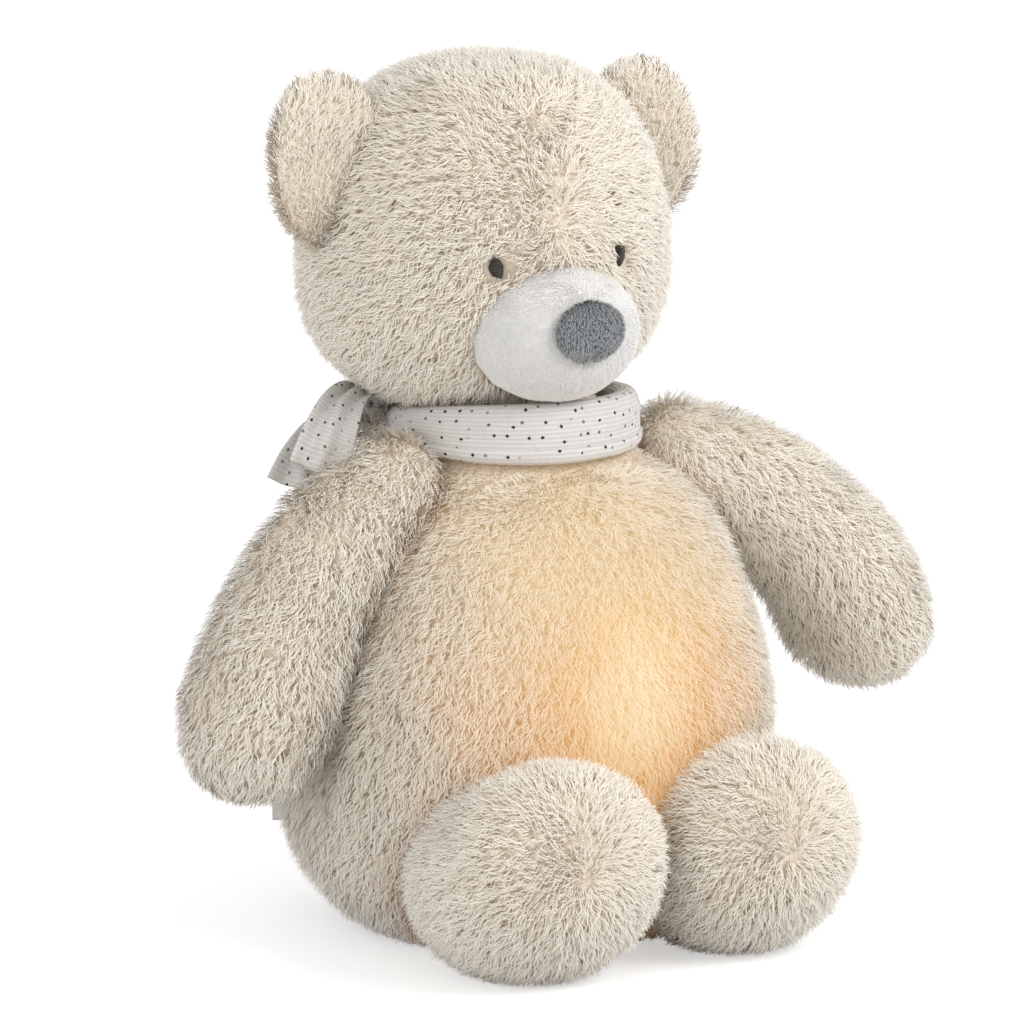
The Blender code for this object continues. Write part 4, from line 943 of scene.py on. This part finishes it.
def make_plush():
    plain = plush_backing("plush_backing"), plush_pile("plush_pile")
    lit = plush_backing("lit_plush_backing", glows=True), plush_pile("lit_plush_pile", glows=True)
    eyes = [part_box(node) for node in EYE_SEEDS]
    over_torso = pile_from(*TORSO_PARTING)
    make_stuffed("torso", "torso", SKIN_VOXEL, over_torso, *lit, 0.8, 11)
    make_stuffed("head", "head", SKIN_VOXEL, pile_from(*HEAD_PARTING), *plain, 0.85, 12, eyes=eyes)
    for index, side in enumerate(("right", "left")):
        arm, leg, ear = f"arm_{side}", f"leg_{side}", f"ear_{side}"
        make_stuffed(arm, arm, SKIN_VOXEL, pile_from(*LIMB_PARTING), *plain, 0.7, 20 + index)
        low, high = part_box(leg)
        foot = ((low.x + high.x) / 2, low.y, (low.z + high.z) * FOOT_HEIGHT_SHARE)
        make_stuffed(leg, leg, SKIN_VOXEL, pile_from(foot, FOOT_OUTWARD), *plain, 0.75, 30 + index)
        low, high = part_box(ear)
        over_ear = pile_from(((low.x + high.x) / 2, high.y, low.z), 1, 0)
        make_stuffed(ear, "head", EAR_VOXEL, over_ear, *plain, 0.5, 40 + index, length=EAR_LOCK_LENGTH)
    make_stuffed("back_flap", "back_flap", SKIN_VOXEL, over_torso, *plain, 0.5, 50)


# Face


def tube_mesh(name, lines, radii):
    """Round threads along lines of points, all in one mesh, with closed ends."""
    points, faces = [], []
    for line, radius in zip(lines, radii):
        start = len(points)
        line = [Vector(point) for point in line]
        for index, point in enumerate(line):
            before, after = line[max(index - 1, 0)], line[min(index + 1, len(line) - 1)]
            run = (after - before).normalized()
            side = run.cross(NO_THREADS_WAY).normalized()
            up = side.cross(run)
            taper = THREAD_END_SHARE if index in (0, len(line) - 1) else 1.0
            for step in range(THREAD_SIDES):
                turn = 2 * math.pi * step / THREAD_SIDES
                points.append(point + (side * math.cos(turn) + up * math.sin(turn)) * radius * taper)
        for index in range(len(line) - 1):
            for step in range(THREAD_SIDES):
                after = (step + 1) % THREAD_SIDES
                here, there = start + index * THREAD_SIDES, start + (index + 1) * THREAD_SIDES
                faces.append((here + step, here + after, there + after, there + step))
        last = start + (len(line) - 1) * THREAD_SIDES
        faces.append(tuple(start + step for step in reversed(range(THREAD_SIDES))))
        faces.append(tuple(last + step for step in range(THREAD_SIDES)))
    mesh = bpy.data.meshes.new(name)
    mesh.from_pydata([tuple(point) for point in points], [], faces)
    mesh.update()
    return smooth_shade(mesh)


def loose_thread(top):
    line = []
    for step in range(THREAD_POINTS):
        share = step / (THREAD_POINTS - 1)
        sway = math.sin(share * 2 * math.pi) * LOOSE_THREAD_LENGTH / 4
        line.append(top + Vector((sway, -EYE_BULGE, share * LOOSE_THREAD_LENGTH)))
    return line


def make_eye(node, seed, material):
    """Satin stitches across an oval pad, with one loose thread over it."""
    low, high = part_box(node)
    centre = (low + high) / 2
    half_width = (high.x - low.x) / 2
    half_height = (high.z - low.z) / 2
    outside = math.copysign(1, centre.x - middle_of("muzzle").x)
    rng = np.random.default_rng(seed)
    lines, radii = [], []
    for index in range(EYE_THREADS):
        level = 2 * (index + 0.5) / EYE_THREADS - 1
        reach = half_width * EYE_SPREAD * math.sqrt(1 - level * level) * rng.uniform(0.93, 1.05)
        slant = rng.uniform(-0.1, 0.1) * half_height
        lean = outside * level * half_height * EYE_TILT
        height = centre.z + level * half_height
        line = []
        for step in range(THREAD_POINTS):
            across = 2 * step / (THREAD_POINTS - 1) - 1
            swell = (1 - across * across) * EYE_BULGE
            depth = low.y + (high.y - low.y) * EYE_DEPTH_SHARE * across * across
            line.append((centre.x + across * reach + lean, depth - swell, height + slant * across))
        lines.append(line)
        radii.append(EYE_THREAD_RADIUS * rng.uniform(0.9, 1.15))
    lines.append(loose_thread(Vector((centre.x - half_width / 4, low.y, high.z))))
    radii.append(EYE_THREAD_RADIUS / 2)
    pad = remeshed(node + "_pad", node, NOSE_VOXEL, SMALL_SMOOTHINGS)
    add_object(node + "_pad", pad, material, "head", node)
    stitches = tube_mesh(node + "_stitches", lines, radii)
    add_object(node + "_stitches", stitches, material, "head")


def make_velour(node, slot, voxel, smoothings, depths, cloth, pile, flow, seed, locks):
    """A velour pad under its short pile, drawn in by a depth at each point."""
    mesh = remeshed(node + "_velour", node, voxel, smoothings)
    points, normals = surface_of(mesh)
    move_points(mesh, points - normals * depths(points, normals)[:, None])
    piece = add_object(node + "_velour", mesh, cloth, "head", node)
    grow_pile(node + "_pile", mesh, node, "head", pile, slot, flow, wave=0, seed=seed, **locks)


def make_muzzle_and_nose():
    """A white muzzle with a seam under the nose, and a grey nose pinched where that seam starts."""
    low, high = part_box("nose")
    middle = (low.x + high.x) / 2

    def on_seam(points):
        return np.exp(-(((points[:, 0] - middle) / SEAM_WIDTH) ** 2))

    def height(points):
        return (points[:, 2] - low.z) / (high.z - low.z)

    def muzzle_depths(points, normals):
        under = np.clip(SEAM_TOP_SHARE - height(points), 0, 1)
        fade = np.clip(SEAM_FADE - under * SEAM_FADE, 0, 1) * (under > 0) * (normals[:, 1] < 0)
        return on_seam(points) * fade * SEAM_DEPTH

    def nose_depths(points, normals):
        fade = np.clip(1 - height(points) * PINCH_FADE, 0, 1)
        return on_seam(points) * fade * SEAM_DEPTH * PINCH_DEPTH_SHARE

    make_velour(
        "muzzle", "white_velour", MUZZLE_VOXEL, MUZZLE_SMOOTHINGS, muzzle_depths,
        white_velour("white_velour"), short_pile("white_pile", VELOUR_SHADE, VELOUR_WHITE, VELOUR_BRIGHT),
        pile_from((middle, high.y, low.z), MUZZLE_OUTWARD), 62, VELOUR_LOCKS,
    )
    make_velour(
        "nose", "grey_velour", NOSE_VOXEL, NOSE_SMOOTHINGS, nose_depths,
        # The grey pile's root colour is painted shade between its loops
        grey_velour("grey_velour"), short_pile("grey_pile", NOSE_DARK, NOSE_GREY, NOSE_LIGHT),
        pile_from((middle, high.y, high.z), NOSE_OUTWARD), 60, NOSE_LOCKS,
    )


# Scarf


def grid_mesh(name, rows, uvs, closed_rows=False):
    """A quad grid from rows of points, with the cloth's own place at each as a UV map."""
    height, width = len(rows), len(rows[0])
    faces, corner_uvs = [], []
    for row in range(height if closed_rows else height - 1):
        for column in range(width - 1):
            corners = ((row, column), (row, column + 1), (row + 1, column + 1), (row + 1, column))
            faces.append(tuple((r % height) * width + c for r, c in corners))
            corner_uvs.extend(uvs(r, c) for r, c in corners)
    mesh = bpy.data.meshes.new(name)
    mesh.from_pydata([tuple(point) for row in rows for point in row], [], faces)
    layer = mesh.uv_layers.new(name="Cloth")
    layer.uv.foreach_set("vector", np.array(corner_uvs, np.float32).ravel())
    mesh.update()
    return smooth_shade(mesh)


def add_cloth(name, mesh, material, node, thickness=CLOTH_THICKNESS):
    """A cloth piece on the torso, thickened to both sides of its mesh."""
    piece = add_object(name, mesh, material, "torso", node)
    cloth = piece.modifiers.new("cloth", "SOLIDIFY")
    cloth.thickness = thickness
    cloth.offset = 0
    return piece


def level_way(turn):
    return Vector((-math.sin(turn), -math.cos(turn), 0))


def band_frame(turn):
    """Centre, outward direction, height and gathering of the band at a turn."""
    bulk = BAND_REAR_SHARE + (1 - BAND_REAR_SHARE) * math.cos(turn / 2) ** 2
    radius = BAND_RADIUS + BAND_BULGE * max(0, math.cos(turn - KNOT_TURN)) ** 2
    outward = level_way(turn)
    height = BAND_HEIGHT * bulk
    top = BAND_TOP - BAND_SLOPE * (1 - math.cos(turn)) / 2
    apart = math.remainder(turn - KNOT_TURN, 2 * math.pi)
    gather = KNOT_GATHER * math.exp(-((apart / KNOT_GATHER_TURN) ** 2))
    centre = BAND_CENTRE + outward * radius + UP * (top - height / 2)
    return centre, outward, height, gather


def finer(section, steps):
    """The section with points added on a smooth curve between its own."""
    made = []
    last = len(section) - 1
    for index in range(last):
        near = (max(index - 1, 0), index, index + 1, min(index + 2, last))
        before, here, after, later = (np.array(section[place]) for place in near)
        tangent_in, tangent_out = (after - before) / 2, (later - here) / 2
        for step in range(steps):
            share = step / steps
            square, cube = share**2, share**3
            made.append(
                here * (2 * cube - 3 * square + 1)
                + after * (3 * square - 2 * cube)
                + tangent_in * (cube - 2 * square + share)
                + tangent_out * (cube - square)
            )
    made.append(np.array(section[last]))
    return [(float(out), float(rise)) for out, rise in made]


def band_ripple(turn, rise):
    ripple = 0
    for around, upward, start, weight in BAND_RIPPLES:
        ripple += noise.noise(Vector((turn * around, rise * upward, start))) * weight
    return ripple


def make_band(material):
    """The band and the flat size of its cloth."""
    section = finer(BAND_SECTION_SHARES, SECTION_STEPS)
    rows = []
    for station in range(BAND_STATIONS):
        turn = 2 * math.pi * station / BAND_STATIONS
        centre, outward, height, gather = band_frame(turn)
        centre = centre + UP * (height * gather * KNOT_LIFT)
        height = height * (1 - gather)
        row = []
        for out, rise in section:
            point = centre + outward * (BAND_FULLNESS * out) + UP * (height * rise)
            row.append(point + outward * BAND_CREASE * band_ripple(turn, rise))
        rows.append(row)
    steps = [run_length(rows[0][: column + 1]) for column in range(len(section))]
    around = 2 * math.pi * BAND_RADIUS

    def cloth_place(station, column):
        return station / BAND_STATIONS * around, steps[column]

    mesh = grid_mesh("scarf_cloth", rows, cloth_place, closed_rows=True)
    band = add_cloth("scarf_cloth", mesh, material, "scarf_band")
    return band, (steps[-1], around)


def run_length(points):
    return sum((here - there).length for here, there in zip(points, points[1:]))


def end_curve(shares, share):
    """A point along a scarf end and the direction of its run there."""
    centre, outward, _, _ = band_frame(KNOT_TURN)
    knot = centre + outward * KNOT_FACE
    start_shares, crest_shares, hem_shares = (Vector(point) for point in shares)
    start = knot + start_shares * KNOT_WIDTH
    crest = start + crest_shares * END_LENGTH
    hem = start + hem_shares * END_LENGTH
    place = start * (1 - share) ** 2 + crest * 2 * share * (1 - share) + hem * share**2
    return place, ((crest - start) * (1 - share) + (hem - crest) * share).normalized()


def end_row(shares, rise, phase, along):
    """One row of points across a scarf end, gathered at the knot and stepped at the hem."""
    facing = level_way(END_FACING)
    place, run = end_curve(shares, along)
    spread = run.cross(UP.lerp(facing, along)).normalized()
    normal = spread.cross(run)
    step = HEM_STEP if along > 1 - HEM_RISE / END_LENGTH else 0
    out = 1 if normal.dot(facing + UP) > 0 else -1
    lift = END_DEPTH / 2 + out * (END_DEPTH / 2 + step + rise * along)
    width = END_WIDTH * float(np.interp(along, *zip(*END_WIDTH_SHARES)))
    ripple = END_RIPPLE * (1 - END_RIPPLE_FADE * along)
    points = []
    for column in range(END_COLUMNS):
        share = 2 * column / (END_COLUMNS - 1) - 1
        fold = END_FOLD * math.cos(share * 2 * math.pi)
        fold = fold + ripple * math.sin(share * END_RIPPLE_TURN + phase)
        sway = END_SWAY * math.sin(along * END_SWAY_TURN + phase) * share
        points.append(place + spread * (width / 2 * share + sway) + normal * (fold + lift))
    return points


def make_end(name, node, shares, rise, phase, material):
    """A scarf end draped over the shoulder, its rows of points, and its cloth's flat size and area."""
    rows = [end_row(shares, rise, phase, row / (END_ROWS - 1)) for row in range(END_ROWS)]
    widths = [run_length(row) for row in rows]
    lengths = [run_length(column) for column in zip(*rows)]
    width, length = max(widths), max(lengths)
    area = sum(widths) / len(widths) * sum(lengths) / len(lengths)

    def cloth_place(row, column):
        return column / (END_COLUMNS - 1) * width + phase, row / (END_ROWS - 1) * length + phase

    mesh = grid_mesh(name, rows, cloth_place)
    piece = add_cloth(name, mesh, material, node)
    return piece, rows, (width, length), area


def make_hem_stitches(name, rows, material):
    """A row of small running stitches above the hem, on both faces."""
    row = round((1 - HEM_RISE / END_LENGTH) * (END_ROWS - 1)) - 1
    stitches = []
    for column in range(0, END_COLUMNS - 2, 2):
        here, there, above = rows[row][column], rows[row][column + 1], rows[row - 1][column]
        normal = (there - here).cross(above - here).normalized()
        for side in (-1, 1):
            out = normal * side * (CLOTH_THICKNESS / 2)
            crown = normal * side * HEM_STITCH_RADIUS
            stitches.append([here + out, (here + there) / 2 + out + crown, there + out])
    mesh = tube_mesh(name, stitches, [HEM_STITCH_RADIUS] * len(stitches))
    return add_object(name, mesh, material, "torso")


def make_knot(material):
    """The gathered lump where both ends leave the band."""
    mesh = remeshed("scarf_knot_cloth", "scarf_knot", MUZZLE_VOXEL, SMALL_SMOOTHINGS)
    points, normals = surface_of(mesh)
    middle = middle_of("scarf_knot")
    turn = np.arctan2(points[:, 2] - middle.z, points[:, 0] - middle.x)
    crease = np.cos(turn * KNOT_PLEATS + points[:, 1] * KNOT_TWIST) * END_FOLD * KNOT_PLEAT_SHARE
    points = points + normals * crease[:, None]
    move_points(mesh, points)
    layer = mesh.uv_layers.new(name="Cloth")
    corners = np.empty(len(mesh.loops), np.int32)
    mesh.loops.foreach_get("vertex_index", corners)
    flat = np.stack([points[:, 0] + points[:, 1], points[:, 2]], 1)[corners]
    layer.uv.foreach_set("vector", flat.astype(np.float32).ravel())
    return add_object("scarf_knot_cloth", mesh, material, "torso", "scarf_knot")


def make_scarf():
    """The scarf's cloth, made before the plush so that the pile can lie under it."""
    muslin = dotted_muslin("dotted_muslin")
    stitch = plain_cloth("hem_thread", *HEM_THREAD)
    knot = make_knot(muslin)
    band, flat = make_band(muslin)
    made_ends = []
    ends = (
        ("scarf_end_front", "scarf_tail_front", FRONT_END_SHARES, FRONT_END_LIFT, FRONT_END_PHASE),
        ("scarf_end_rear", "scarf_tail_back", REAR_END_SHARES, REAR_END_LIFT, REAR_END_PHASE),
    )
    for end in ends:
        piece, rows, end_flat, area = make_end(*end, muslin)
        hem = make_hem_stitches(end[0] + "_hem_stitches", rows, stitch)
        made_ends.append((piece, hem, end_flat, area))
    return knot, band, flat, made_ends


def lay_scarf(knot, band, flat, made_ends):
    """Lays shoulder pile over the knot."""

    def tuft_flow(places):
        return np.tile(TUFT_WAY, (len(places), 1))

    pile = bpy.data.materials["plush_pile"]
    grow_pile(
        "shoulder_tuft", knot.data, "scarf_knot", "torso", pile, "cream_plush", tuft_flow,
        length=TUFT_LENGTH, seed=61,
    )


# Small cloth pieces and the module's finishes


def label_section(reach):
    """Out along one layer, round the fold and back along the other."""
    outward = [2 * step / (LABEL_COLUMNS - 1) - 1 for step in range(LABEL_COLUMNS)]
    section = [(out, -1) for out in outward]
    for step in range(1, LABEL_FOLD_STEPS):
        turn = math.pi * (step / LABEL_FOLD_STEPS - 0.5)
        section.append((1 + math.cos(turn) * LABEL_LAYERS_APART / reach, math.sin(turn)))
    return section + [(-out, 1) for out in outward]


def make_label():
    """A tape folded double, its fold outward, sewn into the side seam."""
    low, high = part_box("seam_label")
    centre = (low + high) / 2
    outward = Vector((-math.cos(LABEL_TURN), math.sin(LABEL_TURN), 0))
    across = outward.cross(UP)
    reach = (high.x - low.x) / math.cos(LABEL_TURN) / 2 - LABEL_LAYERS_APART
    width = high.z - low.z
    rows = []
    for row in range(LABEL_COLUMNS):
        rise = row / (LABEL_COLUMNS - 1)
        line = []
        for out, side in label_section(reach):
            curl = math.sin(rise * math.pi) * (1 + out) / 2 * LABEL_CURL
            place = centre + outward * out * reach + across * (side * LABEL_LAYERS_APART / 2 + curl)
            line.append(place + UP * ((rise - 0.5) * width))
        rows.append(line)

    def cloth_place(row, column):
        return row * LABEL_PITCH, column * LABEL_PITCH

    mesh = grid_mesh("seam_label_tape", rows, cloth_place)
    weave = plain_cloth("label_weave", *LABEL_WEAVE)
    label = add_cloth("seam_label_tape", mesh, weave, "seam_label", LABEL_THICKNESS)


def make_lining():
    """The pocket's cloth cup, slightly creased."""
    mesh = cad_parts["pocket_lining"].data.copy()
    mesh.name = "pocket_lining_cloth"
    points = read_vectors(mesh.vertices, "co")
    middle = (points.min(0) + points.max(0)) / 2
    inward = unit((middle - points) * np.array([1, 0, 1]))
    crease = np.abs(field(points, *LINING_FIELD)[:, :1]) * LINING_CREASE
    smooth_shade(move_points(mesh, points + inward * crease))
    weave = plain_cloth("lining_weave", *LINING_WEAVE)
    lining = add_object("pocket_lining_cloth", mesh, weave, "torso", "pocket_lining")


def make_tape(node, body, length, density, toward, seed):
    """A woven tape with its own loops or hooks standing on the side that faces the other."""
    weave = plain_cloth(node + "_weave", *TAPE_WEAVE)
    mesh = remeshed(node + "_tape", node, TAPE_LOOP_WIDTH, 1)
    add_object(node + "_tape", mesh, weave, body, node)
    rng = np.random.default_rng(seed)
    roots, normals = scatter(mesh, density, rng)
    chosen = normals[:, 1] * toward > 0.9
    roots, normals = roots[chosen], normals[chosen]
    ways = along_surface(rng.normal(0, 1, roots.shape), normals)
    zeros = np.zeros(len(roots))
    line, sides = lock_points(roots, normals, ways, zeros + length, zeros, 0, rng)
    tint = rng.random(len(roots))
    fuzz = lock_mesh(node + "_fuzz", line, sides, normals, zeros + TAPE_LOOP_WIDTH, tint)
    add_object(node + "_fuzz", fuzz, weave, body)


def make_small_cloth():
    make_label()
    make_lining()
    make_tape("loop_strip", "torso", TAPE_LOOP_LENGTH, TAPE_LOOP_DENSITY, 1, 70)
    make_tape("hook_strip", "back_flap", TAPE_HOOK_LENGTH, TAPE_HOOK_DENSITY, -1, 71)


def numbered(name, count):
    return [f"{name}_{index}" for index in range(1, count + 1)]


def dress_module():
    white = moulded_plastic("white_plastic", PLASTIC_WHITE, 0.42)
    grey = moulded_plastic("grey_plastic", PLASTIC_GREY, 0.5)
    black = moulded_plastic("black_plastic", PLASTIC_BLACK, 0.5)
    board = moulded_plastic("green_board", BOARD_GREEN, 0.4, grain=BOARD_SCALE)
    steel = moulded_plastic("steel", STEEL_GREY, 0.3, 1.0)
    sleeve = moulded_plastic("cell_sleeve", SLEEVE_GREEN, 0.3)
    jacket = moulded_plastic("cable_jacket", JACKET_RED, 0.45)
    steel_pieces = ["microphone", "battery_door_screw"]
    for name in ("contact_plate", "contact_spring", "housing_screw"):
        steel_pieces += numbered(name, 3)
    dressed = (
        (lamp_plastic("lamp_plastic"), ["light_diffuser"] + numbered("led", 6)),
        (white, ["front_housing", "rear_housing", "battery_door"]),
        (grey, ["light_button", "sound_button", "volume_button"]),
        (black, ["power_switch", "speaker"]),
        (board, ["led_board", "control_board"]),
        (steel, steel_pieces),
        (sleeve, numbered("battery_cell", 3)),
        (jacket, ["board_cable", "speaker_cable"]),
    )
    for material, nodes in dressed:
        for node in nodes:
            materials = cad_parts[node].data.materials
            materials.clear()
            materials.append(material)


# Studio


def add_camera():
    right = Vector((math.cos(CAMERA_AZIMUTH), math.sin(CAMERA_AZIMUTH), 0))
    level = math.cos(CAMERA_ELEVATION)
    back = Vector((
        math.sin(CAMERA_AZIMUTH) * level, -math.cos(CAMERA_AZIMUTH) * level, math.sin(CAMERA_ELEVATION),
    ))
    camera = new_object("camera", bpy.data.cameras.new("camera"))
    turn = Matrix((right, back.cross(right), back)).transposed().to_4x4()
    camera.matrix_world = Matrix.Translation(CAMERA_TARGET + back * CAMERA_DISTANCE) @ turn
    camera.data.sensor_width = CAMERA_SENSOR
    camera.data.lens = CAMERA_LENS
    camera.data.clip_end = CAMERA_DISTANCE * 4
    bpy.context.scene.camera = camera


def add_area_light(name, place, size, watts):
    light = bpy.data.lights.new(name, "AREA")
    light.size = size
    light.energy = watts
    lamp = new_object(name, light)
    lamp.location = place
    lamp.rotation_euler = (AIM - place).to_track_quat("-Z", "Y").to_euler()


def seen_or_reflected(tree):
    """1 for camera, glossy and transmission rays, which see the plain background."""
    path = add_node(tree, "LightPath").outputs
    seen = larger(tree, path["Is Camera Ray"], path["Is Glossy Ray"])
    return larger(tree, seen, path["Is Transmission Ray"])


def add_world():
    world = bpy.data.worlds.new("studio")
    world.use_nodes = True
    tree = world.node_tree
    strength = ranged(tree, seen_or_reflected(tree), 0, 1, AMBIENT_STRENGTH, 1.0)
    set_inputs(tree, tree.nodes["Background"], {"Color": WHITE, "Strength": strength})
    bpy.context.scene.world = world


def add_floor():
    """A white floor that keeps the object's shadow."""
    half = FLOOR_SIZE / 2
    mesh = bpy.data.meshes.new("floor")
    corners = [(-half, -half, 0), (half, -half, 0), (half, half, 0), (-half, half, 0)]
    mesh.from_pydata(corners, [], [(0, 1, 2, 3)])
    floor = new_object("floor", mesh)
    material, tree, shader = new_material("floor_white", 0.9)
    glow = ranged(tree, seen_or_reflected(tree), 0, 1, 0.0, FLOOR_GLOW)
    inputs = {
        "Base Color": FLOOR_GREY, "Specular IOR Level": 0.0, "Emission Color": WHITE,
        "Emission Strength": glow,
    }
    set_inputs(tree, shader, inputs)
    mesh.materials.append(material)


add_camera()
add_world()
add_area_light("key", KEY_PLACE, KEY_SIZE, KEY_WATTS)
add_area_light("fill", FILL_PLACE, FILL_SIZE, FILL_WATTS)
add_floor()
scarf = make_scarf()
make_plush()
lay_scarf(*scarf)
make_muzzle_and_nose()
thread = dark_thread("dark_thread")
for eye, eye_seed in EYE_SEEDS.items():
    make_eye(eye, eye_seed, thread)
make_small_cloth()
dress_module()

bpy.context.scene.view_settings.view_transform = "Standard"
